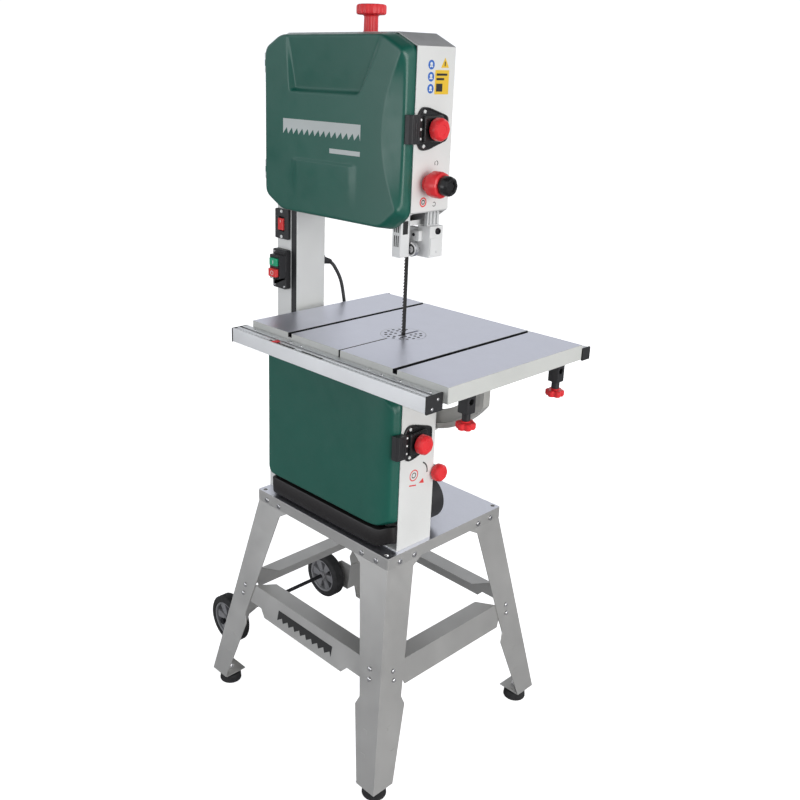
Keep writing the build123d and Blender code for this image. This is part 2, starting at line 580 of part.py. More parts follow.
def guides():
    post = block((186, 194), (-86, -52), (1190, 1470))
    for y in (-83, -73, -63):
        post -= block((190, 196), (y, y + 5), (1208, 1240))
    save("guide_post", post)
    bracket = block((172, 204), (-88, -50), (GUIDE_LOW, 1206))
    bracket -= block((185.9, 194.1), (-86.1, -51.9), (1190, 1210))
    bracket += block((ROLLER_X[0] - 9, 180), (-84, -76), (GUIDE_LOW + 1, 1200))      # arm behind the blade
    bracket += block((162, 184), (-98, -76), (ROLLER_Z + ROLLER_R + 1.5, 1196))      # nose over the right roller
    bracket += rod("y", (BLADE_X, -95.6, ROLLER_Z), 5, 12)                           # thrust button
    for x in ROLLER_X:
        bracket -= rod("y", (x, -90, ROLLER_Z), 5 + RUN, 17)
    save("guide_bracket", bracket)
    guard = block((148, 170), (-134, -109), (GUIDE_LOW, 1290)) - block((149.6, 168.4), (-132.4, -100), (1140, 1300))
    guard += block((170, 171.6), (-112, -70), (1206, 1216)) + block((170, 186), (-72, -66), (1206.2, 1216))
    save("blade_guard", guard)
    for side, x in zip(("left", "right"), ROLLER_X):
        roller = rod("y", (x, -107, ROLLER_Z), ROLLER_R, 9) + rod("y", (x, -98, ROLLER_Z), 5, 23)
        save(f"guide_roller_{side}", roller)
    red = polygon_knob("x", (HOUSING_RIGHT + 15, KNOB_Y, HEIGHT_KNOB_Z), 26, 27, bevel=4)
    red += rod("x", (HOUSING_RIGHT + 1.5, KNOB_Y, HEIGHT_KNOB_Z), 16, 14)
    red += rod("x", (186, KNOB_Y, HEIGHT_KNOB_Z), 5, HOUSING_RIGHT - 182)
    red += rod("x", (186, KNOB_Y, HEIGHT_KNOB_Z), PINION_R, 8)
    red -= rod("x", (HOUSING_RIGHT + 6, KNOB_Y, HEIGHT_KNOB_Z), 8 + RUN, 40)
    save("height_knob", red)
    black = polygon_knob("x", (HOUSING_RIGHT + 42.3, KNOB_Y, HEIGHT_KNOB_Z), 19.5, 21)
    black += rod("x", (HOUSING_RIGHT + 6.2, KNOB_Y, HEIGHT_KNOB_Z), 8, 37)
    save("post_lock_knob", black)


# ---- table --------------------------------------------------------------------------------------------------
def table_top():
    x, y = TABLE_X, TABLE_Y
    wall = 9.0
    low = TABLE_Z - TABLE_EDGE
    top = block(x, y, (low, TABLE_Z))
    top = fillet(top.edges().filter_by(Axis.Z), 2)
    rib = 14.0
    cuts = [x[0] + wall, SLOT_X[0] - rib, SLOT_X[0] + rib, SLOT_X[1] - rib, SLOT_X[1] + rib, x[1] - wall]
    for a, b in zip(cuts[::2], cuts[1::2]):
        top -= block((a, b), (y[0] + wall, y[1] - wall), (low - 1, TABLE_Z - TABLE_PLATE))
    for centre in SLOT_X:
        top -= block((centre - SLOT_WIDTH / 2, centre + SLOT_WIDTH / 2), (y[0] - 1, y[1] + 1),
                     (TABLE_Z - SLOT_DEPTH, TABLE_Z + 1))
        top -= block((centre - rib + 4, centre + rib - 4), (y[0] + wall, y[1] - wall), (low - 1, TABLE_Z - 18))
    top -= block((BLADE_X - 1.5, BLADE_X + 1.5), (y[0] - 1, -102), (low - 1, TABLE_Z + 1))
    top -= rod("z", (BLADE_X, -102, low - 1), 40, TABLE_EDGE + 2)
    top -= rod("z", (BLADE_X, -102, TABLE_Z - 3), 46, 4)
    top -= rod("y", (BLADE_X, y[0] - 1, TABLE_Z - 21), 4, 20)
    return top


def table_insert():
    disc = rod("z", (BLADE_X, -102, TABLE_Z - 3), 45.7, 3)
    disc -= block((BLADE_X - 1.5, BLADE_X + 5), (-118, -60), (TABLE_Z - 4, TABLE_Z + 1))
    for ring_r, count in ((16, 6), (26, 10), (36, 16)):
        for k in range(count):
            angle = 2 * math.pi * (k + 0.5) / count
            px, py = ring_r * math.cos(angle), ring_r * math.sin(angle)
            if abs(px) > 9 or py < -18:
                disc -= rod("z", (BLADE_X + px, -102 + py, TABLE_Z - 4), 2.5, 5)
    return disc


def rails():
    """Front fence rail with a T groove and a scale groove, and the plain rear rail."""
    z0, z1 = 941.0, 970.0
    front = block((-129, 420), (-318, -279), (z0, z1))
    front -= block((-130, 421), (-300, -294), (z1 - 12, z1 + 1))
    front -= block((-130, 421), (-305, -289), (z1 - 12, z1 - 6))
    front -= block((-130, 421), (-314, -306), (z1 - 1.2, z1 + 1))
    front -= block((-130, 421), (-312, -285), (z0 + 4, z0 + 12))
    front += block((-100, 410), (-279, -277), (z0 + 8, z1 - 2))
    rear = block((-129, 432), (125, 148), (951, 974)) - block((-130, 433), (129, 149), (957, 968))
    rear += block((-100, 410), (123, 125), (953, 972))
    save("fence_rails", front, rear)
    caps = []
    for x, rise in (((420, 424), 3), ((-131, -129), 0.5)):
        caps.append(block(x, (-319.5, -278.5), (940, z1 + rise)))
    for x in ((432, 436), (-133, -129)):
        caps.append(block(x, (124, 149.5), (949.5, 975.5)))
    save("rail_caps", *caps)


def polar(radius, degrees):
    """Point at an angle from straight down, measured towards +X, about the tilt axis."""
    a = math.radians(degrees)
    return TILT_AXIS[0] + radius * math.sin(a), TILT_AXIS[1] - radius * math.cos(a)


def tilt_quadrant():
    """Casting under the table: a web with a raised arc rim about the tilt axis and a clamp slot."""
    low, high = -14, 54
    under = TABLE_Z - TABLE_EDGE
    arc = [polar(QUADRANT_R, low + (high - low) * k / 24) for k in range(25)]
    x_left, x_right = arc[0][0], arc[-1][0]
    web = plate_xz(arc + [(x_right, under), (x_left, under)], (QUADRANT_Y[0] + 6, QUADRANT_Y[0] + 14))
    rim_in = [polar(QUADRANT_R - 12, high - (high - low) * k / 24) for k in range(25)]
    web += plate_xz(arc + rim_in, QUADRANT_Y)
    web += block((x_left, x_right), QUADRANT_Y, (under - 12, under))
    web += block((x_right - 10, x_right), QUADRANT_Y, (arc[-1][1], under))
    slot_out = [polar(172, -9 + 58 * k / 20) for k in range(21)]
    slot_in = [polar(160, 49 - 58 * k / 20) for k in range(21)]
    return web - plate_xz(slot_out + slot_in, (QUADRANT_Y[0] - 1, QUADRANT_Y[1] + 1))


def quadrant_support():
    """Bracket on the housing's rear wall that carries the quadrant between its lip and the clamp."""
    lip_out = [polar(QUADRANT_R + 12, -12 + 20 * k / 8) for k in range(9)]
    lip_in = [polar(QUADRANT_R + 0.4, 8 - 20 * k / 8) for k in range(9)]
    lip = plate_xz(lip_out + lip_in, (HOUSING_Y[1], QUADRANT_Y[1] + 2))
    back_out = [polar(QUADRANT_R + 12, -12 + 20 * k / 8) for k in range(9)]
    back_in = [polar(150, 8 - 20 * k / 8) for k in range(9)]
    back = plate_xz(back_out + back_in, (QUADRANT_Y[1] + 1, QUADRANT_Y[1] + 9))
    bx, bz = polar(166, -2)
    return lip + back - rod("y", (bx, -30, bz), 5 + RUN, 30)


def table_group():
    save("table_top", table_top())
    save("table_insert", table_insert())
    rails()
    save("tilt_quadrant", tilt_quadrant())
    save("quadrant_support", quadrant_support())
    bx, bz = polar(166, -2)
    lock = polygon_knob("y", (bx, -13.5, bz), 20, 24) + rod("y", (bx, -44, bz), 5, 32)
    save("tilt_lock_knob", lock)
    clamps = []
    for name, y in (("front", -184.0), ("rear", 92.0)):
        body = block((376, 420), (y - 20, y + 20), (946, 952)) + block((388, 411), (y - 11, y + 11), (905, 947))
        body += rod("z", (400, y, 890), 8, 20)
        body -= rod("x", (380, y, 928), 6, 40)
        body -= rod("z", (400, y, 880), 4 + RUN, 40)
        clamps.append(body)
        knob = star_knob((400, y, 874), 19, 14) + rod("z", (400, y, 880), 4, 38)
        save(f"clamp_knob_{name}", knob)
    save("extension_clamps", *clamps)


# ---- switches -----------------------------------------------------------------------------------------------
def switches():
    front = COLUMN_Y[0]
    box = block((-217, -171), (-141, front), (1018, 1106))
    box = fillet(box.edges().filter_by(Axis.Y), 4)
    box += block((-207, -172), (-158, -140), (1044, 1096))
    for z, half in ((1081, 9), (1057, 9.5)):
        box -= block((-203, -176), (-160, -134), (z - half, z + half))
    green = block((-202.6, -176.4), (-163, -138), (1081 - 8.6, 1081 + 8.6))
    red = block((-202.6, -176.4), (-166, -138), (1057 - 9.1, 1057 + 9.1))
    save("green_button", fillet(green.edges().filter_by(Axis.Y), 2))
    save("red_button", fillet(red.edges().filter_by(Axis.Y), 2))
    plate = block((-218, -172), (-134, front), (1129, 1195))
    plate = fillet(plate.edges().filter_by(Axis.Y), 3)
    plate -= block((-204, -186), (-135, front - 0.5), (1146, 1178))
    save("switch_boxes", box, plate)
    rocker = rod("x", (-203.7, -131.5, 1162), 3.2, 17.4)
    rocker += block((-203.7, -186.3), (-137.5, -131.5), (1149, 1175))
    save("lamp_rocker", rocker)


# ---- build --------------------------------------------------------------------------------------------------
save("stand_top", stand_top())
save("stand_legs", *[leg(sx, sy) for sx in (-1, 1) for sy in (-1, 1)])
save("stand_fasteners", *fasteners())
save("levelling_feet", *feet())
transport()
save("column", column())
save("blade_slot_cover", block((-168.7, -151.8), (COLUMN_Y[0], COLUMN_Y[0] + 1.8), (926, 1239)))
save("lower_skirt", plate_xz([(-172, 530), (168, 530), (208, 546), (208, 586), (176, 574), (-172, 574)],
                             (-180, HOUSING_Y[0])))
doors()
latches()
drive()
motor_lead()
guides()
table_group()
switches()
print(len(parts), "nodes")
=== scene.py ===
import json
import math

import bmesh
import bpy
from mathutils import Matrix, Vector


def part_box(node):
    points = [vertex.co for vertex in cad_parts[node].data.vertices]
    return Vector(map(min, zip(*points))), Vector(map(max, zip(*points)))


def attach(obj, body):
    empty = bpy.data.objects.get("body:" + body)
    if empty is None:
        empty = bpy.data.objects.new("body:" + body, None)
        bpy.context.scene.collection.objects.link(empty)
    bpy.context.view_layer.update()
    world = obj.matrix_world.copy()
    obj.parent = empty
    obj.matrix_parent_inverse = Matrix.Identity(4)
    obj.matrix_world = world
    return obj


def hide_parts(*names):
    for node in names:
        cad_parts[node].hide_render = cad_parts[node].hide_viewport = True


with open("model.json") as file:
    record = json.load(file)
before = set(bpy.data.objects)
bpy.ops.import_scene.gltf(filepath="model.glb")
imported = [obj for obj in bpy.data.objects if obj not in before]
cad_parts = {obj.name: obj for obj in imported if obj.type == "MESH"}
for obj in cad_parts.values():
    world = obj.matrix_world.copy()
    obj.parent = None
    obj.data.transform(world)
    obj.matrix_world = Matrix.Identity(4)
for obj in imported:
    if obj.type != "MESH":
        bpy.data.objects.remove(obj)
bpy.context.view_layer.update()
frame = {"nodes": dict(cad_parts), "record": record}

MM = 0.001
NODES = frame["nodes"]
BODY_OF = {node: body for body, nodes in frame["record"]["behaviour"]["bodies"].items() for node in nodes}
SLOT_OF = {part["node"]: part["material_slot"] for part in frame["record"]["subparts"]}


def middle(node):
    low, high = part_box(node)
    return (low + high) / 2


# Working frame of the details: x from the band wheels' axis, y from the middle of the stand's plate,
# z from the floor.
ORIGIN = Vector((middle("upper_wheel").x, middle("stand_top").y, 0))


def at(x, y, z):
    """Point in metres from millimetres in the working frame."""
    return ORIGIN + Vector((x, y, z)) * MM


def local(point):
    """Millimetres in the working frame from a point in metres."""
    return (point - ORIGIN) / MM


def box_of(node):
    """Low corner, high corner and centre of a CAD node in the working frame."""
    low, high = (local(corner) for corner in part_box(node))
    return low, high, (low + high) / 2


# ---- mesh helpers -------------------------------------------------------------------------------------------
X_AXIS, Y_AXIS, Z_AXIS = Vector((1, 0, 0)), Vector((0, 1, 0)), Vector((0, 0, 1))


def add(name, data):
    obj = bpy.data.objects.new(name, data)
    bpy.context.scene.collection.objects.link(obj)
    return obj


def bake(obj):
    """Turns modifiers into real geometry."""
    mesh = bpy.data.meshes.new_from_object(obj.evaluated_get(bpy.context.evaluated_depsgraph_get()))
    obj.modifiers.clear()
    obj.data = mesh


def finish_mesh(obj, look, bevel, smooth=35.0):
    """Soft edges as real geometry, then smooth shading up to an angle that leaves flat faces flat."""
    if bevel:
        edges = obj.modifiers.new("edges", "BEVEL")
        edges.width, edges.segments, edges.use_clamp_overlap = bevel * MM, 2, False
        edges.limit_method, edges.angle_limit = "ANGLE", math.radians(34)
        bake(obj)
    obj.data.polygons.foreach_set("use_smooth", [True] * len(obj.data.polygons))
    obj.data.set_sharp_from_angle(angle=math.radians(smooth))
    if bevel:
        obj.modifiers.new("even", "WEIGHTED_NORMAL").keep_sharp = True
        bake(obj)
    obj.data.materials.clear()
    obj.data.materials.append(look)


def make(name, part, home, look, slot=None, bevel=0.0, smooth=35.0, matrix=None, replaces=None):
    """A new piece from (vertices, faces). home: the body that it rides on, or a node of that body."""
    verts, faces = part
    mesh = bpy.data.meshes.new(name)
    mesh.from_pydata([tuple(v) for v in verts], [], faces)
    if matrix is not None:
        mesh.transform(matrix)
    clean = bmesh.new()
    clean.from_mesh(mesh)
    bmesh.ops.remove_doubles(clean, verts=clean.verts, dist=1e-7)
    bmesh.ops.recalc_face_normals(clean, faces=clean.faces)
    clean.to_mesh(mesh)
    clean.free()
    obj = add(name, mesh)
    finish_mesh(obj, look, bevel, smooth)
    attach(obj, BODY_OF.get(home, home))
    slot or USUAL_SLOT[look.name]
    if replaces:
        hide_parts(replaces)
    return obj


def softened(node, look, bevel, top=None, shade_look=None, in_shade=None):
    """A copy of a CAD node with small round edges, standing for it. top: material of the faces that look up; the
    last
    two arguments: a material painted on as shade, and the test that picks the faces whose middles get it."""
    mesh = NODES[node].data.copy()
    clean = bmesh.new()
    clean.from_mesh(mesh)
    bmesh.ops.remove_doubles(clean, verts=clean.verts, dist=2e-6)
    bmesh.ops.dissolve_limit(clean, angle_limit=math.radians(0.6), verts=clean.verts, edges=clean.edges)
    clean.to_mesh(mesh)
    clean.free()
    obj = add(node + "_finished", mesh)
    finish_mesh(obj, look, bevel)
    for extra, accepts in ((top, lambda face: face.normal.z > 0.95), (shade_look, in_shade)):
        if extra is not None:
            obj.data.materials.append(extra)
            for face in obj.data.polygons:
                if accepts(face):
                    face.material_index = len(obj.data.materials) - 1
    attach(obj, BODY_OF[node])
    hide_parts(node)


def aim(point, axis):
    """Matrix that takes local +Z to axis and the local origin to point."""
    axis = Vector(axis).normalized()
    return Matrix.Translation(point) @ axis.to_track_quat("Z", "Y").to_matrix().to_4x4()


def loops_to_faces(loops, close_start=True, ring=False):
    """Vertices and faces of a skin over closed loops with equal counts."""
    count = len(loops[0])
    pairs = [(k, k + 1) for k in range(len(loops) - 1)] + ([(len(loops) - 1, 0)] if ring else [])
    faces = [(a * count + k, a * count + n, b * count + n, b * count + k)
             for a, b in pairs for k, n in ((k, (k + 1) % count) for k in range(count))]
    if not ring:
        if close_start:
            faces.append(tuple(range(count))[::-1])
        faces.append(tuple(range((len(loops) - 1) * count, len(loops) * count)))
    return [p for loop in loops for p in loop], faces


def turned(profile, steps=40, shape=None, ring=False):
    """Turned form about +Z in metres from (radius, height) in mm; shape(angle, radius, height) gives the real
    radius."""
    angles = [2 * math.pi * k / steps for k in range(steps)]
    loops = []
    for radius, height in profile:
        real = [shape(a, radius, height) if shape else radius for a in angles]
        loops.append([(r * math.cos(a) * MM, r * math.sin(a) * MM, height * MM) for r, a in zip(real, angles)])
    return loops_to_faces(loops, ring=ring)


def lathe(name, home, look, profile, matrix, steps=40, shape=None, ring=False, **more):
    """A turned piece, placed by the matrix."""
    make(name, turned(profile, steps, shape, ring), home, look, matrix=matrix, **more)


def merge(parts):
    """One vertex and face list from several."""
    verts, faces = [], []
    for some, more in parts:
        base = len(verts)
        verts += [tuple(v) for v in some]
        faces += [tuple(base + i for i in face) for face in more]
    return verts, faces


def moved(part, matrix):
    verts, faces = part
    return [tuple(matrix @ Vector(v)) for v in verts], faces


def box_part(low, high):
    (x0, y0, z0), (x1, y1, z1) = low, high
    verts = [(x, y, z) for z in (z0, z1) for x, y in ((x0, y0), (x1, y0), (x1, y1), (x0, y1))]
    faces = [(3, 2, 1, 0), (4, 5, 6, 7), (0, 1, 5, 4), (1, 2, 6, 5), (2, 3, 7, 6), (3, 0, 4, 7)]
    return verts, faces


def turn_corner(a, here, b, steps):
    """Short curve from a to b that leans on the corner."""
    return [a * (1 - t) ** 2 + here * 2 * t * (1 - t) + b * t ** 2 for t in (s / steps for s in range(steps + 1))]


def rounded(points, radius, steps=4):
    """2-D polygon with its corners rounded by short curves."""
    made = []
    for k, point in enumerate(points):
        here, before, after = Vector(point), Vector(points[k - 1]), Vector(points[(k + 1) % len(points)])
        a, b = (here + side.normalized() * min(radius, side.length * 0.45)
                for side in (before - here, after - here))
        made += turn_corner(a, here, b, steps)
    return made


def smooth_step(value, low, high):
    t = min(1.0, max(0.0, (value - low) / (high - low)))
    return t * t * (3 - 2 * t)


# ---- materials ----------------------------------------------------------------------------------------------
class Look:
    """A principled material built from procedural nodes in object space."""

    def __init__(self, name):
        self.material = bpy.data.materials.new(name)
        self.material.use_nodes = True
        self.nodes = self.material.node_tree.nodes
        self.links = self.material.node_tree.links
        self.shader = self.nodes["Principled BSDF"]
        self.place = self.nodes.new("ShaderNodeTexCoord").outputs["Object"]

    def set(self, **values):
        for key, value in values.items():
            self.shader.inputs[key.replace("_", " ")].default_value = value

    def link(self, source, key):
        self.links.new(source, self.shader.inputs[key])

    def noise(self, scale, detail=2.0, stretch=(1, 1, 1)):
        mapping = self.nodes.new("ShaderNodeMapping")
        mapping.inputs["Scale"].default_value = stretch
        self.links.new(self.place, mapping.inputs["Vector"])
        texture = self.nodes.new("ShaderNodeTexNoise")
        for key, value in (("Scale", scale), ("Detail", detail), ("Roughness", 0.5)):
            texture.inputs[key].default_value = value
        self.links.new(mapping.outputs["Vector"], texture.inputs["Vector"])
        return texture.outputs["Fac"]

    def spread(self, source, low, high, out_low=0.0, out_high=1.0):
        node = self.nodes.new("ShaderNodeMapRange")
        for key, value in (("From Min", low), ("From Max", high), ("To Min", out_low), ("To Max", out_high)):
            node.inputs[key].default_value = value
        self.links.new(source, node.inputs["Value"])
        return node.outputs["Result"]

    def math(self, kind, a, b):
        node = self.nodes.new("ShaderNodeMath")
        node.operation = kind
        for k, value in enumerate((a, b)):
            if isinstance(value, (int, float)):
                node.inputs[k].default_value = value
            else:
                self.links.new(value, node.inputs[k])
        return node.outputs["Value"]

    def mix(self, factor, a, b):
        node = self.nodes.new("ShaderNodeMix")
        node.data_type = "RGBA"
        self.links.new(factor, node.inputs["Factor"])
        for key, value in (("A", a), ("B", b)):
            socket = [s for s in node.inputs if s.name == key and s.type == "RGBA"][0]
            if isinstance(value, tuple):
                socket.default_value = (*value, 1.0)
            else:
                self.links.new(value, socket)
        return [s for s in node.outputs if s.type == "RGBA"][0]

    def bump(self, source, strength, distance):
        node = self.nodes.new("ShaderNodeBump")
        node.inputs["Strength"].default_value = strength
        node.inputs["Distance"].default_value = distance
        self.links.new(source, node.inputs["Height"])
        self.links.new(node.outputs["Normal"], self.shader.inputs["Normal"])

    def edges(self, radius):
        """1 along sharp edges, 0 on flat ground."""
        bevel = self.nodes.new("ShaderNodeBevel")
        bevel.samples = 4
        bevel.inputs["Radius"].default_value = radius
        geometry = self.nodes.new("ShaderNodeNewGeometry")
        dot = self.nodes.new("ShaderNodeVectorMath")
        dot.operation = "DOT_PRODUCT"
        self.links.new(bevel.outputs["Normal"], dot.inputs[0])
        self.links.new(geometry.outputs["Normal"], dot.inputs[1])
        return self.spread(dot.outputs["Value"], 0.995, 0.90)


def shade(colour, factor):
    return tuple(min(1.0, c * factor) for c in colour)


def paint(name, colour, rough, peel=0.10, wear=(0.8, 0.8, 0.78), coat=0.0, worn=0.35, mottle=0.05, flake=0.0):
    """Powder coat: slow colour drift, fine orange peel, thin worn edges."""
    look = Look(name)
    drift = look.spread(look.noise(5.0, 3.0), 0.35, 0.65)
    base = look.mix(drift, shade(colour, 1 - mottle), shade(colour, 1 + mottle))
    rubbed = look.math("MULTIPLY", look.edges(0.0012), look.spread(look.noise(120.0, 4.0), 0.45, 0.7, 0.0, worn))
    look.link(look.mix(rubbed, base, wear), "Base Color")
    look.link(look.spread(look.noise(30.0, 4.0), 0.3, 0.7, rough - 0.05, rough + 0.07), "Roughness")
    look.bump(look.noise(420.0, 3.0), peel, 0.0004)
    look.set(Coat_Weight=coat, Coat_Roughness=0.25, Metallic=flake)
    return look.material


def plastic(name, colour, rough, depth=0.25, lift=1.25):
    """Moulded plastic: spark-eroded grain, slightly paler rubbed edges."""
    look = Look(name)
    drift = look.spread(look.noise(14.0, 3.0), 0.35, 0.65)
    base = look.mix(drift, shade(colour, 0.93), shade(colour, 1.07))
    rubbed = look.math("MULTIPLY", look.edges(0.0008), 0.45)
    look.link(look.mix(rubbed, base, shade(colour, lift + 0.6)), "Base Color")
    look.link(look.spread(look.noise(60.0, 4.0), 0.3, 0.7, rough - 0.06, rough + 0.08), "Roughness")
    look.bump(look.noise(900.0, 2.0), depth, 0.0003)
    return look.material


def metal(name, colour, rough, stretch=(1, 1, 1), scale=300.0, depth=0.15, stain=0.08, spread=0.07):
    """Bare metal: brushed or turned lines, patchy stain in the roughness and colour."""
    look = Look(name)
    patches = look.spread(look.noise(9.0, 4.0), 0.35, 0.7)
    base = look.mix(patches, shade(colour, 1 - stain), shade(colour, 1 + stain))
    lines = look.noise(scale, 3.0, stretch)
    look.link(base, "Base Color")
    streaks, cloud = look.spread(lines, 0.3, 0.7, -spread, spread), look.spread(patches, 0, 1, rough, rough + 0.05)
    look.link(look.math("ADD", streaks, cloud), "Roughness")
    look.bump(lines, depth, 0.0002)
    look.set(Metallic=1.0)
    return look.material


def rubber(name, colour, rough=0.75):
    look = Look(name)
    dust = look.spread(look.noise(40.0, 5.0), 0.45, 0.75)
    look.link(look.mix(dust, colour, shade(colour, 2.2)), "Base Color")
    look.link(look.spread(look.noise(90.0, 3.0), 0.3, 0.7, rough - 0.08, rough + 0.08), "Roughness")
    look.bump(look.noise(700.0, 3.0), 0.35, 0.0004)
    return look.material


GREEN = paint("door_green", (0.006, 0.104, 0.074), 0.33, peel=0.05, wear=(0.10, 0.24, 0.20), coat=0.12, worn=0.25)
WHITE = paint("housing_white", (0.76, 0.765, 0.75), 0.42, peel=0.08, wear=(0.9, 0.9, 0.9))
# Darker grey for the faces of the upper housing that look up: painted shade, standing for the little light that
# falls on them from above.
SHADED_TOP_GREY = paint("housing_top_painted_shade", (0.30, 0.30, 0.30), 0.40, peel=0.08, wear=(0.6, 0.6, 0.6))
GREY = paint("stand_grey", (0.52, 0.515, 0.50), 0.36, peel=0.14, flake=0.55, wear=(0.62, 0.62, 0.60), worn=0.5,
             mottle=0.07)
CAST = paint("cast_grey", (0.40, 0.40, 0.38), 0.55, peel=0.5, wear=(0.6, 0.6, 0.58), worn=0.5, mottle=0.10)
EDGE = paint("table_edge_grey", (0.60, 0.61, 0.585), 0.45, peel=0.12, wear=(0.75, 0.75, 0.74))
BLACK = plastic("black_plastic", (0.018, 0.018, 0.020), 0.45)
SOOT = plastic("smooth_black", (0.012, 0.012, 0.013), 0.28, depth=0.10)
BROWN = plastic("skirt_plastic", (0.010, 0.008, 0.008), 0.42, depth=0.15)
RED = plastic("red_plastic", (0.84, 0.030, 0.038), 0.32, depth=0.10, lift=1.0)
PALE_RED = plastic("lens_red", (0.85, 0.06, 0.06), 0.18, depth=0.04, lift=1.0)
LEAF = plastic("button_green", (0.02, 0.40, 0.20), 0.30, depth=0.08, lift=1.0)
GROUND = metal("ground_table", (0.74, 0.75, 0.83), 0.34, stretch=(1, 22, 22), scale=60.0, depth=0.03, stain=0.04,
               spread=0.04)
STEEL = metal("turned_steel", (0.52, 0.52, 0.53), 0.30, scale=500.0)
ZINC = metal("zinc_plate", (0.72, 0.72, 0.73), 0.24, scale=200.0, depth=0.10)
ALUMINIUM = metal("anodised_aluminium", (0.84, 0.85, 0.86), 0.42, stretch=(1, 30, 30), scale=70.0, depth=0.05,
                  stain=0.03)
# Lighter, bluish silver for the faces of the stand's top that look up, against the grey of its sides: painted
# reflection of the pale bluish backdrop.
TOP_REFLECTION_SILVER = metal("stand_top_painted_reflection", (0.80, 0.81, 0.88), 0.33, scale=160.0, depth=0.03, stain=0.03, spread=0.05)
# Near-black steel: the own colour of the black screws and the axle, and painted shade on the walls and floors of
# the table's slots.
BLACK_STEEL_AND_SLOT_SHADE = metal("black_steel_and_slot_shade", (0.05, 0.05, 0.055), 0.5, scale=200.0, depth=0.1, stain=0.2)
LIGHT_CAST = paint("guide_white", (0.74, 0.745, 0.74), 0.36, peel=0.15, wear=(0.5, 0.5, 0.5), worn=0.4)
PALE_STEEL = paint("guide_post_silver", (0.66, 0.67, 0.67), 0.30, peel=0.06, wear=(0.4, 0.4, 0.4), worn=0.3)
CASTING = metal("cast_aluminium", (0.62, 0.62, 0.63), 0.45, scale=350.0, depth=0.35)
BAND = metal("band_steel", (0.085, 0.082, 0.078), 0.36, stretch=(1, 1, 12), scale=90.0, depth=0.12, stain=0.2)
TYRE = rubber("tyre_rubber", (0.018, 0.018, 0.019))
CABLE = rubber("cable_rubber", (0.020, 0.020, 0.022), 0.55)
HUB = plastic("hub_grey", (0.26, 0.26, 0.27), 0.42, depth=0.2)
INK_WHITE = paint("print_white", (0.85, 0.87, 0.86), 0.5, peel=0.03, worn=0.1)
INK_PALE = paint("print_silver", (0.52, 0.56, 0.55), 0.42, peel=0.05, worn=0.1)
# Black print, also used as painted shade for the insert's holes and for the guard's slots and window.
BLACK_PRINT_AND_SHADE = paint("print_and_shade_black", (0.015, 0.015, 0.015), 0.5, peel=0.03, worn=0.1)
INK_YELLOW = paint("print_yellow", (0.86, 0.55, 0.03), 0.4, peel=0.03, worn=0.1)
INK_BLUE = paint("print_blue", (0.02, 0.14, 0.55), 0.4, peel=0.03, worn=0.1)
INK_RED = paint("print_red", (0.75, 0.05, 0.05), 0.4, peel=0.03, worn=0.1)

# Slot name of a new piece by its look, where the piece doesn't name one; make() looks it up but doesn't give it to
# the piece.
USUAL_SLOT = {look.name: slot for slot, looks in (
    ("green_paint", [GREEN]), ("red_plastic", [RED]), ("black_plastic", [BLACK, SOOT, BROWN, BLACK_PRINT_AND_SHADE]),
    ("white_paint", [LIGHT_CAST, INK_WHITE, INK_PALE, INK_YELLOW, INK_BLUE, INK_RED]),
    ("steel", [STEEL, BLACK_STEEL_AND_SLOT_SHADE]), ("zinc", [ZINC]), ("blade_steel", [BAND]), ("rubber", [TYRE, CABLE]),
    ("grey_paint", [GREY, HUB])) for look in looks}


# ---- doors --------------------------------------------------------------------------------------------------
HOUSING_FRONT, HOUSING_RIGHT, HOUSING_REAR = -150.0, 210.0, -47.0
DOOR_BACK, DOOR_FACE, DOOR_RIGHT = -151.0, -182.0, 207.0
UPPER_RIM = [(-208, 1228), (-148, 1202), (170, 1202), (209, 1232), (209, 1536), (158, 1560), (-150, 1560),
             (-208, 1536)]
UPPER_FACE = [(-190, 1236), (-136, 1207), (158, 1207), (206, 1245), (206, 1528), (150, 1556), (-142, 1556),
              (-190, 1530)]
LOWER_RIM = [(-196, 588), (-186, 578), (180, 578), (209, 596), (209, 856), (142, 918), (-180, 918), (-196, 902)]
LOWER_FACE = [(-184, 594), (-176, 582), (172, 582), (203, 602), (203, 846), (134, 912), (-168, 912),
              (-184, 896)]
DOOR_EDGE, DOOR_STEP, DOOR_RINGS, DOOR_SHEET = 7.0, 3.2, 80, 2.2
UPRIGHT = Matrix.Rotation(math.radians(90), 4, "X")


def facet_edge(z):
    """Curved left border of the long facet on the upper door's right side."""
    return DOOR_RIGHT - 49 * max(0.0, 1 - ((z - 1384) / 150) ** 2)


def upper_relief(x, z):
    """How far the upper door's face lies behind its highest plane."""
    left = x - (-124 + (1557 - z) * 0.112)
    right = 95 + (z - 1447) * 0.558 - x
    inside = smooth_step(left, 0, 11) * smooth_step(right, 0, 11) * smooth_step(z - 1446, 0, 9)
    field = 9.5 * inside * min(1.0, max(0.0, (1562 - z) / 104))
    ledge = smooth_step(1318 - z, 0, 4) * smooth_step(z, 1225, 1316)
    ledge *= smooth_step(x, -104, -84) * (1 - smooth_step(x, 70, 94))
    edge = facet_edge(z)
    facet = 9.0 * max(0.0, x - edge) / max(1.5, DOOR_RIGHT - edge)
    return field + min(9.0, facet) - 2.4 * ledge


def bend(x, _z=0):
    """How far the lower door and its skirt curve back towards the right."""
    reach = min(1.0, max(0.0, (x - 132) / 77))
    return 25 * (1 - math.sqrt(max(0.0, 1 - reach ** 2)))


def divided(points, plan):
    """Points along a closed outline, plan[k] of them on side k."""
    made = []
    for k, count in enumerate(plan):
        a, b = Vector(points[k]), Vector(points[(k + 1) % len(points)])
        made += [a.lerp(b, s / count) for s in range(count)]
    return made


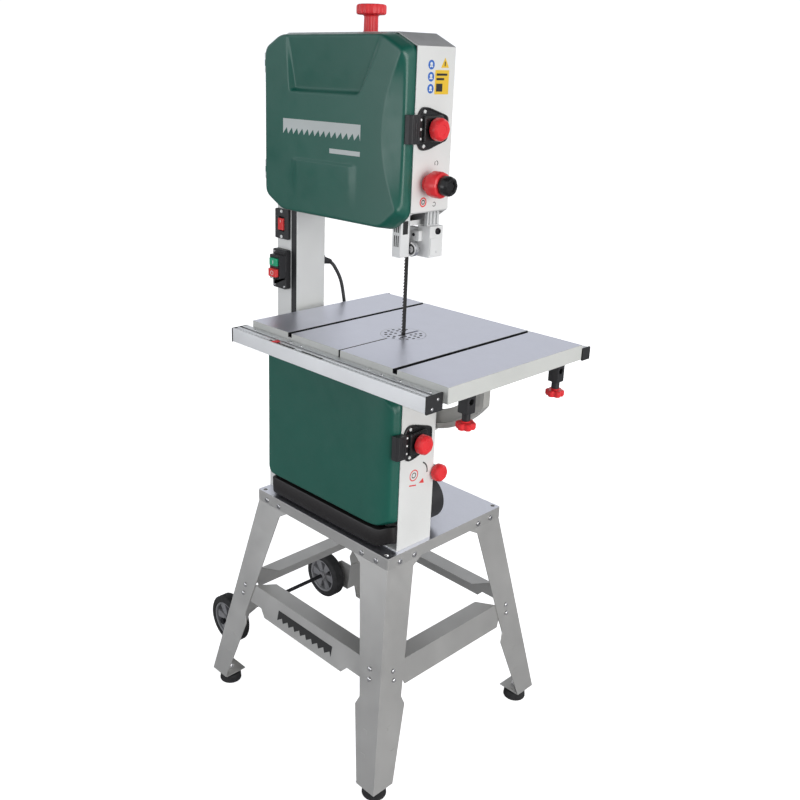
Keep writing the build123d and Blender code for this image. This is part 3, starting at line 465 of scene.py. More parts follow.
def door_panel(node, rim, face, relief, corner):
    """Hollow tray from its rim to a round-edged face that lies behind its highest plane by the relief."""
    rim, face = rounded(rim, corner), rounded(face, corner)
    plan = [max(1, round((Vector(b) - Vector(a)).length / DOOR_STEP)) for a, b in zip(rim, rim[1:] + rim[:1])]
    rim, face = divided(rim, plan), divided(face, plan)
    centre = sum(face, Vector((0, 0))) / len(face)
    depth = DOOR_FACE - DOOR_BACK
    start = 1 - DOOR_EDGE / abs(depth)
    # Each loop holds a point, the share of the relief it takes, its depth and where the relief is read.
    loops = [[(r.lerp(f, part), part, DOOR_BACK + depth * part, f) for r, f in zip(rim, face)]
             for part in (0, 0.3, 0.6, start)]
    for t in (step / 6 for step in range(1, 7)):
        y = (DOOR_BACK + depth * start) * (1 - t) ** 2 + DOOR_FACE * (1 - (1 - t) ** 2)
        loop = []
        for r, f in zip(rim, face):
            inner = f + (centre - f).normalized() * DOOR_EDGE * 0.8
            point = r.lerp(f, start) * (1 - t) ** 2 + f * 2 * t * (1 - t) + inner * t ** 2
            loop.append((point, start + (1 - start) * t, y, point))
        loops.append(loop)
    border = [point for point, *_ in loops[-1]]
    for t in (ring / DOOR_RINGS for ring in range(1, DOOR_RINGS)):
        loops.append([(p.lerp(centre, t), 1.0, DOOR_FACE, p.lerp(centre, t)) for p in border])
    skin = [[at(p.x, y + relief(w.x, w.y) * smooth_step(share, 0, 1), p.y) for p, share, y, w in loop]
            for loop in loops]
    obj = make(node + "_panel", loops_to_faces(skin, close_start=False), node, GREEN, smooth=50, replaces=node)
    sheet = obj.modifiers.new("sheet", "SOLIDIFY")
    sheet.thickness, sheet.offset, sheet.use_even_offset = DOOR_SHEET * MM, -1, True
    bake(obj)


def hinge_eyes(door, x, y, heights, leaf_to):
    """Rolled eyes of a door with the leaf that joins them to its rim."""
    eye = [(5.5, 0.4), (5.1, 0), (3.3, 0), (3.1, 0.4), (3.1, 12.6), (3.3, 13), (5.1, 13), (5.5, 12.6)]
    parts = []
    for z in heights:
        parts.append(moved(turned(eye, 28, ring=True), Matrix.Translation(at(x, y, z))))
        parts.append(box_part(at(x + 4.6, y - 1.3, z + 0.3), at(leaf_to, y + 1.3, z + 12.7)))
    make(door + "_eyes", merge(parts), door, GREEN, bevel=0.3)


def saw_mark(name, home, matrix, width, height, tooth, look, depth=0.42):
    """Plain printed bar with a toothed lower edge, in the plane of local X and Y."""
    count = max(1, round(width / tooth))
    pitch = width / count
    outline = [(width, height), (0, height)]
    for k in range(count):
        outline += [(k * pitch, 0), (k * pitch + pitch * 0.72, height * depth)]
    outline.append((width, 0))
    loops = [[(px * MM, py * MM, h * MM) for px, py in outline] for h in (0.0, 0.12)]
    make(name, loops_to_faces(loops), home, look, smooth=20, matrix=matrix)


def doors():
    door_panel("upper_door", UPPER_RIM, UPPER_FACE, upper_relief, 14)
    door_panel("lower_door", LOWER_RIM, LOWER_FACE, bend, 9)
    hinge_eyes("upper_door", -216.5, -154.5, (1275, 1495), -203.5)
    hinge_eyes("lower_door", -203.5, -155.5, (640, 830), -191.5)
    for name, x, z, width, height, tooth, depth in (("door_mark", -130, 1364, 231, 30, 16.5, 0.42),
                                                    ("door_mark_small", 14, 1335, 87, 9, 300, 0.0)):
        saw_mark(name, "upper_door", Matrix.Translation(at(x, DOOR_FACE, z)) @ UPRIGHT, width, height, tooth,
                 INK_PALE, depth)


# ---- housings, column, skirt --------------------------------------------------------------------------------
def six(angle):
    """Radius factor of a hexagon over its inscribed circle."""
    return 1 / math.cos((angle % (math.pi / 3)) - math.pi / 6)


def screw(name, point, axis, radius, look, home="frame", recess=True, height=2.2):
    """Domed screw head with a hexagonal socket."""
    profile = [(radius, 0), (radius, height * 0.3), (radius * 0.86, height * 0.75), (radius * 0.62, height)]
    if recess:
        profile += [(radius * 0.42, height), (radius * 0.40, height * 0.35)]
    lathe(name, home, look, profile, aim(point, axis), 24, lambda a, r, h: r * six(a) if r <= radius * 0.42 else r,
          slot="steel" if look == BLACK_STEEL_AND_SLOT_SHADE else "zinc")


def decal(name, corners, look, lift=0.15):
    """Thin printed patch on the right-hand wall from its (y, z) corners."""
    loops = [[at(HOUSING_RIGHT + h, y, z) for y, z in corners] for h in (0.0, lift)]
    make(name, loops_to_faces(loops), "frame", look, slot="white_paint", smooth=20)


def patch(y0, z0, y1, z1):
    return [(y0, z0), (y1, z0), (y1, z1), (y0, z1)]


def arc(y, z, radius, start=0.0, sweep=360.0, steps=24):
    return [(y + radius * math.cos(math.radians(start + sweep * k / steps)),
             z + radius * math.sin(math.radians(start + sweep * k / steps))) for k in range(steps + 1)]


def arc_band(y, z, outer, inner, start=0.0, sweep=359.0):
    return arc(y, z, outer, start, sweep, 16) + arc(y, z, inner, start, sweep, 16)[::-1]


def labels():
    """Plain safety patches: no words and no real sign."""
    raised = 0.3
    decal("label_field", patch(-101, 1453, -63, 1496), INK_YELLOW)
    for k, z in enumerate((1488, 1480)):
        decal(f"label_bar_{k}", patch(-97, z - 2, -68 - 8 * k, z + 2), BLACK_PRINT_AND_SHADE, raised)
    decal("label_block", patch(-97, 1458, -80, 1472), BLACK_PRINT_AND_SHADE, raised)
    decal("label_triangle", [(-86, 1500), (-64, 1500), (-75, 1518)], INK_YELLOW)
    decal("label_triangle_core", patch(-76.2, 1503, -73.8, 1511), BLACK_PRINT_AND_SHADE, raised)
    for k, z in enumerate((1505, 1484, 1463)):
        decal(f"label_disc_{k}", arc(-112, z, 8.5)[:-1], INK_BLUE)
        decal(f"label_ring_{k}", arc(-112, z + 1.5, 3.2)[:-1], INK_WHITE, raised)
        decal(f"label_bust_{k}", arc_band(-112, z - 5, 4.6, 1.5, 15, 150), INK_WHITE, raised)
    for name, corners, look in (
            ("round_mark", arc_band(-118, 1257, 9.5, 6.6), INK_RED),
            ("round_mark_core", arc_band(-118, 1257, 4.8, 2.8), BLACK_PRINT_AND_SHADE),
            ("turn_mark_upper", arc_band(-86, 1328, 5.0, 3.6, -60, 150), BLACK_PRINT_AND_SHADE),
            ("turn_mark_upper_b", arc_band(-86, 1328, 5.0, 3.6, 130, 100), BLACK_PRINT_AND_SHADE),
            ("turn_mark_lower", arc_band(-87, 1251, 4.6, 3.3, -150, 280), BLACK_PRINT_AND_SHADE),
            ("tension_mark_ring", arc_band(-108, 690, 13, 10.5), INK_RED),
            ("tension_mark_core", arc_band(-108, 690, 6.5, 4.5), BLACK_PRINT_AND_SHADE),
            ("tension_mark_arc", arc_band(-92, 690, 26, 23, -10, 75), BLACK_PRINT_AND_SHADE),
            ("tension_mark_arrow", [(-92, 668), (-76, 664), (-79, 676)], INK_RED),
            ("tension_mark_bar", [(-121, 668), (-100, 664), (-100, 667), (-121, 671)], INK_RED)):
        decal(name, corners, look)


def lower_skirt():
    """Rounded black foot of the lower housing, curved like the door above it."""
    left, right = -172, 208
    samples = [left, -168] + [-160 + 16 * k for k in range(19)] + [134 + 6 * k for k in range(12)] + [206, right]
    loops = []
    for x in samples:
        low = 530 + 16 * smooth_step(x, 165, right)
        high = 574 + 12 * smooth_step(x, 172, right)
        y = -180 + bend(x) * 0.97 + (1.5 if x in (left, right) else 0.0)
        section = [(HOUSING_FRONT - 0.2, high), (y + 3, high), (y + 0.8, high - 0.8), (y, high - 3),
                   (y, high - 20), (y + 1.2, low + 6), (y + 4, low + 1.5), (y + 8, low),
                   (HOUSING_FRONT - 0.2, low)]
        loops.append([at(x, yy, zz) for yy, zz in section])
    make("lower_skirt_moulding", loops_to_faces(loops), "frame", BROWN, smooth=40, replaces="lower_skirt")


def housings():
    # Faces of the upper housing that tilt upwards get the darker grey as painted shade.
    softened("upper_housing", WHITE, bevel=0.45, shade_look=SHADED_TOP_GREY, in_shade=lambda face: face.normal.z > 0.5)
    softened("lower_housing", WHITE, bevel=0.9)
    for node, look in (("column", WHITE), ("blade_slot_cover", BLACK), ("hinge_pins", ZINC),
                       ("carrier_rails", STEEL)):
        softened(node, look, bevel=0.5)
    lower_skirt()
    for k, (x, z) in enumerate([(-190, 1262), (-190, 1515), (185, 1262), (185, 1515), (-205, 560), (-205, 900),
                                (195, 560), (195, 840)]):
        screw(f"panel_screw_{k}", at(x, HOUSING_REAR, z), Y_AXIS, 5, ZINC)
    for k in range(6):
        angle = math.radians(60 * k + 30)
        spot = at(36 * math.cos(angle), -39, WHEEL_LOW_Z + 36 * math.sin(angle))
        screw(f"bearing_screw_{k}", spot, Y_AXIS, 4, ZINC)
    labels()


# ---- knobs and latches --------------------------------------------------------------------------------------
def flat_sided(sides, rounding=0.35):
    """Radius factor of a many-sided knob with rounded corners."""
    half = math.pi / sides

    def factor(angle):
        off = (angle % (2 * half)) - half
        return min(1.0 / math.cos(off), 1.0 / math.cos(half * (1 - rounding))) * math.cos(half)
    return factor


def fluted(sides, depth, sharpness=3):
    return lambda angle: 1 - depth * (0.5 + 0.5 * math.cos(sides * angle)) ** sharpness


OCTAGON = flat_sided(8)


def knob(name, node, point, axis, profile, outline, look, plain_below):
    """Moulded knob head: profile of (radius, height), with the outline applied above a height."""
    def shape(angle, radius, height):
        return radius * outline(angle) if height >= plain_below and radius > 4 else radius
    lathe(name, node, look, profile, aim(point, axis), 96, shape, smooth=32, replaces=node)


def grip_profile(radius, length):
    """Waisted neck, then a soft head with a dished end."""
    return [(radius * r, length * h) for r, h in (
        (0.7, 0), (0.7, 0.16), (0.93, 0.20), (1, 0.27), (0.985, 0.78), (0.955, 0.88), (0.86, 0.97), (0.78, 1),
        (0.45, 1), (0.40, 0.965), (0.1, 0.965))]


def facet_profile(radius, length, stem):
    """Stem from below the head, then a head with a wide front chamfer and a shallow dish."""
    return [(5, stem), (5, 0), (radius * 0.8, 0.3), (radius * 0.95, 1.0), (radius, 2.6), (radius, length * 0.70),
            (radius * 0.95, length * 0.82), (radius * 0.78, length), (radius * 0.42, length),
            (radius * 0.38, length - 0.9), (1, length - 0.9)]


def latch(which):
    """Screwed plate with a boss on the housing, the red knob in it, and the block's ribbed cover on the door."""
    node = which + "_latch_knob"
    _, _, centre = box_of(node)
    y, z = centre.y, centre.z

    def raised(outline, levels):
        return loops_to_faces([[at(HOUSING_RIGHT + h, y + p.x * k, z + p.y * k) for p in outline]
                               for h, k in levels])
    outline = rounded([(-36, -24), (-25, -39), (-8, -39), (48, -22), (48, 22), (-8, 39), (-25, 39), (-36, 24)],
                      9, 5)
    boss = rounded([(-27, -24), (26, -24), (26, 24), (-27, 24)], 4, 4)
    parts = [raised(outline, ((0.05, 1.0), (4.2, 1.0), (5.0, 0.975), (5.0, 0.93), (4.4, 0.90), (3.4, 0.90))),
             raised(boss, ((3.0, 1.0), (9.0, 1.0), (11.5, 0.97), (13.0, 0.92), (13.6, 0.80))),
             box_part(at(HOUSING_RIGHT + 0.5, y - 37, z - 24), at(HOUSING_RIGHT + 8, y - 26, z + 24))]
    make(which + "_latch_plate", merge(parts), "frame", SOOT, bevel=0.4,
         replaces="latch_brackets" if which == "upper" else None)
    knob(which + "_latch_grip", node, at(HOUSING_RIGHT + 17, y, z), X_AXIS, facet_profile(22, 19, -16), OCTAGON,
         RED, plain_below=0.5)
    for k, dz in enumerate((31, -31)):
        screw(f"{which}_latch_screw_{k}", at(HOUSING_RIGHT + 3.4, y - 18, z + dz), X_AXIS, 3.6, INK_WHITE)
    for k, dz in enumerate((-17, 0, 17)):
        screw(f"{which}_latch_pin_{k}", at(HOUSING_RIGHT + 7.8, y - 32.0, z + dz), X_AXIS, 2.5, INK_WHITE,
              recess=False, height=1.6)

    block = which + "_latch_block"
    low, high, _ = box_of(block)
    shape = [(209.4, -151), (210.3, -150.4), (210.3, -147.6), (222.9, -147.6), (222.9, -168), (218, -172.9),
             (low.x + 0.1, -172.9)]
    loops = [[at(px, py, pz) for px, py in shape] for pz in (low.z + 0.1, high.z - 0.1)]
    ribs = [box_part(at(222.5, -165.5 + 6 * k, low.z + 5), at(223.6, -163 + 6 * k, high.z - 5)) for k in range(3)]
    make(block + "_cover", merge([loops_to_faces(loops), *ribs]), block, BLACK, bevel=0.9, replaces=block)


def height_knob():
    """Red eight-sided ring on the pinion of the guide post, with the black lock knob through it."""
    _, _, centre = box_of("height_knob")
    spot = at(HOUSING_RIGHT, centre.y, centre.z)
    head = [(8.2, 41.5), (8.2, 6.2), (5.1, 6.0), (5.1, 1.6), (15, 1.6), (16, 2.6), (15.5, 14), (22, 15),
            (25.2, 16.2), (26, 18.5), (26, 36), (24.6, 40), (21.5, 42), (10.5, 42)]
    lathe("height_grip", "height_knob", RED, head, aim(spot, X_AXIS), 96,
          lambda a, r, h: r * OCTAGON(a) if r > 20 else r, ring=True, smooth=32, replaces="height_knob")
    teeth = turned([(22.0, 0), (23.5, 0.4), (23.5, 7.6), (22.0, 8)], 88,
                   lambda a, r, h: r * (0.955 + 0.045 * math.cos(22 * a)) if r > 20 else r)
    spindle = turned([(5, 0), (5, 16.2), (4.5, 17)], 24)
    nose = moved(turned([(5, 0), (5, 18)], 24), Matrix.Translation((0, 0, 6 * MM)))
    make("height_pinion", merge([teeth, spindle, nose]), "height_knob", STEEL,
         matrix=aim(spot - X_AXIS * 24 * MM, X_AXIS))
    black = [(8, 6.4), (8, 42.3), (16, 42.5), (18.8, 43.6), (19.5, 45.5), (19.5, 57), (18.4, 60.5), (15.5, 63.2),
             (11.5, 63.2), (10.6, 62.2), (10.2, 59.5), (1, 59.5)]
    hexagon = flat_sided(6, 0.1)

    def sides(angle, radius, height):
        if radius > 14 and height > 42.4:
            return radius * OCTAGON(angle)
        return radius * hexagon(angle) if height > 59 else radius
    lathe("post_lock_grip", "post_lock_knob", SOOT, black, aim(spot, X_AXIS), 96, sides, smooth=32,
          replaces="post_lock_knob")


def thread(radius, root, pitch, length):
    """Profile of a fine thread."""
    return [(radius if k % 2 else root, pitch * k) for k in range(int(length / pitch))]


def tension_knob():
    """Red knob on the housing's roof, its spindle and the collar that it turns in."""
    low, high, centre = box_of("tension_knob")
    length = 53.0
    neck_ribs, head_ribs = fluted(10, 0.05, 2), fluted(14, 0.055, 2)

    def ribs(angle, radius, height):
        if height > 33 and radius > 20:
            return radius * head_ribs(angle)
        return radius * neck_ribs(angle) if 3 < height < 31 and radius > 10 else radius
    profile = [(14.5, 0), (15, 1), (15, 3.2), (14.6, 3.4), (14.2, 30), (16, 32.5), (27, 33.5), (29.6, 35.5),
               (30, 39), (30, 49), (28.6, 51.8), (26, 52.9), (12, 52.2), (10, 51.0), (1, 51.0)]
    lathe("tension_grip", "tension_knob", RED, profile,
          Matrix.Translation(at(centre.x, centre.y, high.z - length)), 112, ribs, smooth=32,
          replaces="tension_knob")
    lathe("tension_spindle", "tension_knob", STEEL, thread(5.0, 4.55, 1.2, high.z - length - low.z),
          Matrix.Translation(at(centre.x, centre.y, low.z)), 20)
    lathe("tension_collar", "frame", SOOT, [(19, 0), (19, 2.2), (17.6, 3.0), (16.2, 3.0), (15.6, 1.5), (15.6, 0)],
          Matrix.Translation(at(centre.x, centre.y, 1561)), ring=True)


def rod_knobs():
    """Knobs with a head at the high end of their node and a plain rod from its low end."""
    for (node, grip, rod, axis, length, profile, outline, look, plain_below,
         (tip, radius, chamfer, steps, into)) in (
            ("belt_tension_knob", "belt_tension_grip", "belt_tension_rod", X_AXIS, 18, facet_profile(20, 18, -4),
             OCTAGON, RED, 0.5, (4.2, 4.5, 0.5, 24, 2)),
            ("tracking_knob", "tracking_grip", "tracking_screw_rod", Y_AXIS, 20, grip_profile(22, 20),
             fluted(8, 0.12), BLACK, 3.0, (3.8, 4, 0.3, 20, 1)),
            ("tilt_lock_knob", "tilt_lock_grip", "tilt_lock_rod", Y_AXIS, 24, grip_profile(20, 24),
             fluted(6, 0.16), BLACK, 3.5, (4.8, 5, 0.3, 24, 1))):
        low, high, centre = box_of(node)
        along = 0 if axis == X_AXIS else 1
        head, end = centre.copy(), centre.copy()
        head[along], end[along] = high[along] - length, low[along]
        knob(grip, node, at(*head), axis, profile, outline, look, plain_below)
        lathe(rod, node, STEEL, [(tip, 0), (radius, chamfer), (radius, head[along] - end[along] + into)],
              aim(at(*end), axis), steps)


def clamp_knobs():
    """Six-lobed red knobs under the extension clamps, each on its thread."""
    lobes = fluted(6, 0.20, 2)
    profile = [(8, -2), (8, 0), (16.5, 0.6), (18.8, 2.8), (18.8, 10), (17, 13.2), (10, 14), (9, 12.8), (4, 12.8)]
    for node in ("clamp_knob_front", "clamp_knob_rear"):
        low, high, centre = box_of(node)
        spot = at(centre.x, centre.y, low.z + 14)
        lathe(node + "_star", node, RED, profile, aim(spot, -Z_AXIS), 96,
              lambda a, r, h: r * lobes(a) if r > 14 else r, smooth=32, replaces=node)
        lathe(node + "_thread", node, STEEL, thread(4.0, 3.5, 1.0, high.z - low.z - 14.5),
              aim(spot, Z_AXIS), 18)


def knobs():
    latch("upper")
    latch("lower")
    height_knob()
    tension_knob()
    rod_knobs()
    clamp_knobs()


# ---- blade and guides ---------------------------------------------------------------------------------------
WHEEL_TOP_Z, WHEEL_LOW_Z, BAND_R = 1380.0, 755.0, 157.7


def band_point(s):
    """Point and outward direction on the band's path, s in mm from the cutting run's top, going down."""
    run, half = WHEEL_TOP_Z - WHEEL_LOW_Z, math.pi * BAND_R
    s %= 2 * (run + half)
    if s < run:
        return (BAND_R, WHEEL_TOP_Z - s), (1, 0)
    s -= run
    if s < half:
        a = -s / BAND_R
        return (BAND_R * math.cos(a), WHEEL_LOW_Z + BAND_R * math.sin(a)), (math.cos(a), math.sin(a))
    s -= half
    if s < run:
        return (-BAND_R, WHEEL_LOW_Z + s), (-1, 0)
    a = math.pi - (s - run) / BAND_R
    return (BAND_R * math.cos(a), WHEEL_TOP_Z + BAND_R * math.sin(a)), (math.cos(a), math.sin(a))


def blade():
    """Endless band with hooked teeth on its front edge, points down on the cutting run."""
    back, gullet_line, half_thick, lean = -96.0, -104.5, 0.4, 0.044
    total = 2 * (WHEEL_TOP_Z - WHEEL_LOW_Z + math.pi * BAND_R)
    count = round(total / 6.5)
    loops = []
    for k in range(count):
        set_over = (0.0, lean, -lean)[k % 3]
        for part, front in ((0.0, -105.0), (0.45, -106.0), (0.86, -108.0), (0.93, -107.6)):
            (px, pz), (nx, nz) = band_point((k + part) * total / count)
            shift = set_over if front < -107 else 0.0
            loops.append([at(px + nx * h, y, pz + nz * h) for y, h in (
                (back, -half_thick), (gullet_line, -half_thick), (front, -0.38 + shift), (front, 0.38 + shift),
                (gullet_line, half_thick), (back, half_thick))])
    make("blade_band", loops_to_faces(loops, ring=True), "blade", BAND, smooth=25, replaces="blade")


def guides():
    softened("guide_post", PALE_STEEL, bevel=0.4)
    softened("guide_bracket", LIGHT_CAST, bevel=0.4)
    softened("blade_guard", LIGHT_CAST, bevel=0.3)
    ring = [(6, 0.5), (10.4, 0.5), (10.7, 0.0), (13.6, 0.0), (14.5, 0.9), (14.5, 8.1), (13.6, 9.0), (6, 9.0)]
    core = [(2.2, 1.2), (2.6, 0.2), (6.2, 0.2), (6.2, 9.0), (5.0, 9.4), (5.0, 32), (1, 32)]
    shield = [(6.1, 0.25), (10.5, 0.25), (10.5, 1.0), (6.1, 1.0)]
    for node in ("guide_roller_left", "guide_roller_right"):
        low, _, centre = box_of(node)
        place = aim(at(centre.x, low.y, centre.z), Y_AXIS)
        lathe(node + "_ring", node, ZINC, ring, place, 64, ring=True, slot="steel", replaces=node)
        lathe(node + "_core", node, STEEL, core, place, 40)
        lathe(node + "_shield", node, SOOT, shield, place, 48, ring=True, slot="steel")
    for name, spot, axis, radius, look, height in (
            ("guide_clamp_screw", (204, -66, 1196), X_AXIS, 6.5, BLACK_STEEL_AND_SLOT_SHADE, 5.0),
            ("guide_set_screw", (204, -70, 1156), X_AXIS, 3.0, ZINC, 1.2),
            ("guide_nose_screw", (171, -98, 1188), -Y_AXIS, 3.2, BLACK_STEEL_AND_SLOT_SHADE, 2.4)):
        screw(name, at(*spot), axis, radius, look, "guide_bracket", height=height)
    make("guide_pad", box_part(at(204, -87, 1150), at(206.5, -71, 1184)), "guide_bracket", LIGHT_CAST, bevel=0.5)
    # Thin black patches on the guard: painted shade standing for its slots and its window.
    slot_shades = [box_part(at(x, -134.3, z), at(x + 2.4, -133.9, z + 22))
             for x in (153, 158, 163) for z in (1166, 1194)]
    make("guard_slot_shade", merge(slot_shades), "guide_bracket", BLACK_PRINT_AND_SHADE)
    make("guard_window_shade", box_part(at(169.9, -128, 1190), at(170.25, -114, 1216)), "guide_bracket", BLACK_PRINT_AND_SHADE)


# ---- table --------------------------------------------------------------------------------------------------
INSERT_Y, INSERT_TOP, RAIL_TOP = -102, 983.2, 969.0
MITRE_SLOTS, GROOVE_TOP = (9.5, 306.0), 982.6


def in_slot(face):
    """Walls and floors of the mitre slots and of the slit for the blade, which get near-black steel as painted
    shade.
    """
    spot = local(face.center)
    in_mitre = min(abs(spot.x - x) for x in MITRE_SLOTS) < 5.6 and 974 < spot.z
    in_slit = abs(spot.x - BAND_R) < 2.2 and spot.y < -150
    return (in_mitre or in_slit) and spot.z < GROOVE_TOP


def insert_hole_shade():
    """Three rings of flush black discs, painted shade standing for holes, but none where the blade's slot runs."""
    holes = []
    for radius, count in ((16, 6), (26, 10), (36, 16)):
        for k in range(count):
            angle = 2 * math.pi * (k + 0.5) / count
            px, py = radius * math.cos(angle), radius * math.sin(angle)
            if abs(px) > 9 or py < -18:
                spot = at(BAND_R + px, INSERT_Y + py, INSERT_TOP - 3)
                holes.append(moved(turned([(3.1, 0), (3.1, 3.0)], 16), Matrix.Translation(spot)))
    make("insert_hole_shade", merge(holes), "table_insert", BLACK_PRINT_AND_SHADE)


def scale_marks(name, first, count, wide, reaches, front, heights, look, shown):
    """Marks of a rule every 10 mm, with a longer one every 50 mm, where shown accepts their place."""
    marks = []
    for k in range(count):
        x, reach = first + 10 * k, reaches[k % 5 != 0]
        if shown(x):
            marks.append(box_part(at(x - wide / 2, front, RAIL_TOP + heights[0]),
                                  at(x + wide / 2, front + reach, RAIL_TOP + heights[1])))
    make(name, merge(marks), "table_top", look)


def table():
    # The table's slot walls and floors get near-black steel as painted shade.
    softened("table_top", EDGE, bevel=0.7, top=GROUND, shade_look=BLACK_STEEL_AND_SLOT_SHADE, in_shade=in_slot)
    softened("table_insert", GROUND, bevel=0.3)
    insert_hole_shade()
    for node, look, bevel in (("fence_rails", ALUMINIUM, 0.5), ("rail_caps", BLACK, 0.8),
                              ("tilt_quadrant", CAST, 1.0), ("quadrant_support", CAST, 1.0),
                              ("extension_clamps", BLACK, 1.2)):
        softened(node, look, bevel=bevel)
    for name, x0, x1 in (("a", -16, 62), ("b", 84, 145)):
        strip = box_part(at(x0, -313.6, RAIL_TOP - 0.1), at(x1, -306.4, RAIL_TOP + 0.25))
        make("scale_strip_" + name, strip, "table_top", BLACK_PRINT_AND_SHADE)
    scale_marks("scale_ticks", -110, 52, 0.5, (5.4, 3.2), -313.2, (-0.1, 0.12), BLACK_PRINT_AND_SHADE,
                lambda x: not (-17 < x < 63 or 83 < x < 146))
    scale_marks("scale_lines", -14, 16, 0.6, (5.0, 3.0), -313.0, (0.2, 0.32), INK_WHITE,
                lambda x: x < 61 or 85 < x < 144)
    pointer = [(0, -316.5), (11, -311.5), (11, -303), (0, -300.5)]
    make("scale_pointer", loops_to_faces([[at(px, py, z) for px, py in pointer] for z in (970.05, 971.5)]),
         "table_top", RED, bevel=0.3)
    for k, z in enumerate((948, 963)):
        screw(f"rail_cap_screw_{k}", at(424, -306 + 14 * k, z), X_AXIS, 3.2, ZINC, "table_top", height=1.5)
    for k, x in enumerate((-88, 30, 60, 250, 286, 330, 404)):
        screw(f"rail_bolt_{k}", at(x, -288 if k % 2 else -290, 970), Z_AXIS, 3.4, ZINC, "table_top", height=1.6)
    for k, x in enumerate((-60, 120, 240, 380)):
        screw(f"rear_rail_bolt_{k}", at(x, 140, 957.2), Y_AXIS, 4.2, ZINC, "table_top", height=2.6)
    for k, z in enumerate((905, 860)):
        screw(f"quadrant_bolt_{k}", at(158 + 22 * k, -24, z), Y_AXIS, 5, ZINC, "tilt_quadrant")


# ---- switches -----------------------------------------------------------------------------------------------
def switches():
    for node, look, bevel in (("switch_boxes", BLACK, 1.0), ("green_button", LEAF, 1.0),
                              ("red_button", PALE_RED, 1.0), ("lamp_rocker", PALE_RED, 0.8)):
        softened(node, look, bevel=bevel)
    for k, z in enumerate((1134, 1190)):
        screw(f"lamp_screw_{k}", at(-195, -134, z), -Y_AXIS, 3.6, INK_WHITE)
    for k, (x, z) in enumerate(((-211, 1100), (-177, 1024), (-211, 1024))):
        screw(f"switch_screw_{k}", at(x, -141, z), -Y_AXIS, 3.0, ZINC)
    lip = rounded([(-206, 1040), (-173, 1040), (-173, 1098), (-206, 1098)], 4, 4)
    centre = Vector((-189.5, 1069))
    loops = [[at(centre.x + (p.x - centre.x) * k, -158 - h, centre.y + (p.y - centre.y) * k) for p in lip]
             for k, h in ((0.93, -0.2), (0.93, 0.9), (0.89, 0.9), (0.89, -0.2))]
    make("switch_lip", loops_to_faces(loops, ring=True), "frame", SOOT)

    def front_of(node):
        return box_of(node)[0].y
    green, red, rocker = front_of("green_button"), front_of("red_button"), front_of("lamp_rocker")
    make("start_mark", box_part(at(-190.3, green - 0.3, 1077), at(-188.7, green + 0.1, 1085)), "green_button",
         INK_WHITE)
    lathe("stop_mark", "red_button", INK_WHITE, [(3.8, 0), (4.8, 0), (4.8, 0.35), (3.8, 0.35)],
          Matrix.Translation(at(-189.5, red + 0.05, 1057)) @ UPRIGHT, 32, ring=True)
    make("rocker_bar", box_part(at(-195.6, rocker - 0.2, 1166), at(-194.4, rocker + 0.1, 1171)), "lamp_rocker",
         INK_WHITE)


# ---- stand --------------------------------------------------------------------------------------------------
STAND_TOP_Z, LEG_X, LEG_Y = 499, 218, 184
SLOPE_X, SLOPE_Y = 74.0 / 471.0, 94.0 / 471.0


def leg_x(z):
    """Outer face of the legs at a height."""
    return LEG_X + (STAND_TOP_Z - z) * SLOPE_X


def leg_y(z):
    return LEG_Y + (STAND_TOP_Z - z) * SLOPE_Y


def islands(node):
    """Connected pieces of a CAD node as lists of points in the working frame."""
    mesh = bmesh.new()
    mesh.from_mesh(NODES[node].data)
    bmesh.ops.remove_doubles(mesh, verts=mesh.verts, dist=2e-6)
    place = NODES[node].matrix_world
    seen, groups = set(), []
    for vert in mesh.verts:
        if vert in seen:
            continue
        group, queue = [], [vert]
        seen.add(vert)
        while queue:
            here = queue.pop()
            group.append(local(place @ here.co))
            for other in (edge.other_vert(here) for edge in here.link_edges):
                if other not in seen:
                    seen.add(other)
                    queue.append(other)
        groups.append(group)
    mesh.free()
    return groups


def fasteners():
    """Socket heads on the skirt, domed rivets on the braces."""
    brace_top = 400
    bolt = turned([(3, -6), (3, 0), (6.6, 0), (6.6, 0.5), (6.4, 1.3), (5.6, 2.3), (4.2, 2.9), (2.6, 3.0),
                   (2.5, 1.0)], 24, lambda a, r, h: r * six(a) if r < 2.65 and h > 0 else r)
    rivet = turned([(3, -4), (3, 0), (5.4, 0), (5.3, 0.7), (4.4, 1.7), (2.8, 2.4), (1.0, 2.6)], 22)
    bolts, rivets = [], []
    for group in islands("stand_fasteners"):
        low = Vector([min(p[k] for p in group) for k in range(3)])
        high = Vector([max(p[k] for p in group) for k in range(3)])
        size, spot = high - low, (low + high) / 2
        along = 0 if abs(size.z - size.y) < abs(size.z - size.x) else 1
        sign = 1 if spot[along] > 0 else -1
        head, height, made = (bolt, 3.0, bolts) if spot.z > brace_top else (rivet, 2.6, rivets)
        spot[along] = (high if sign > 0 else low)[along] - sign * height
        made.append(moved(head, aim(at(*spot), sign * (X_AXIS, Y_AXIS)[along])))
    make("skirt_bolts", merge(bolts), "stand_fasteners", STEEL, slot="zinc", replaces="stand_fasteners")
    make("brace_rivets", merge(rivets), "stand_fasteners", ZINC)


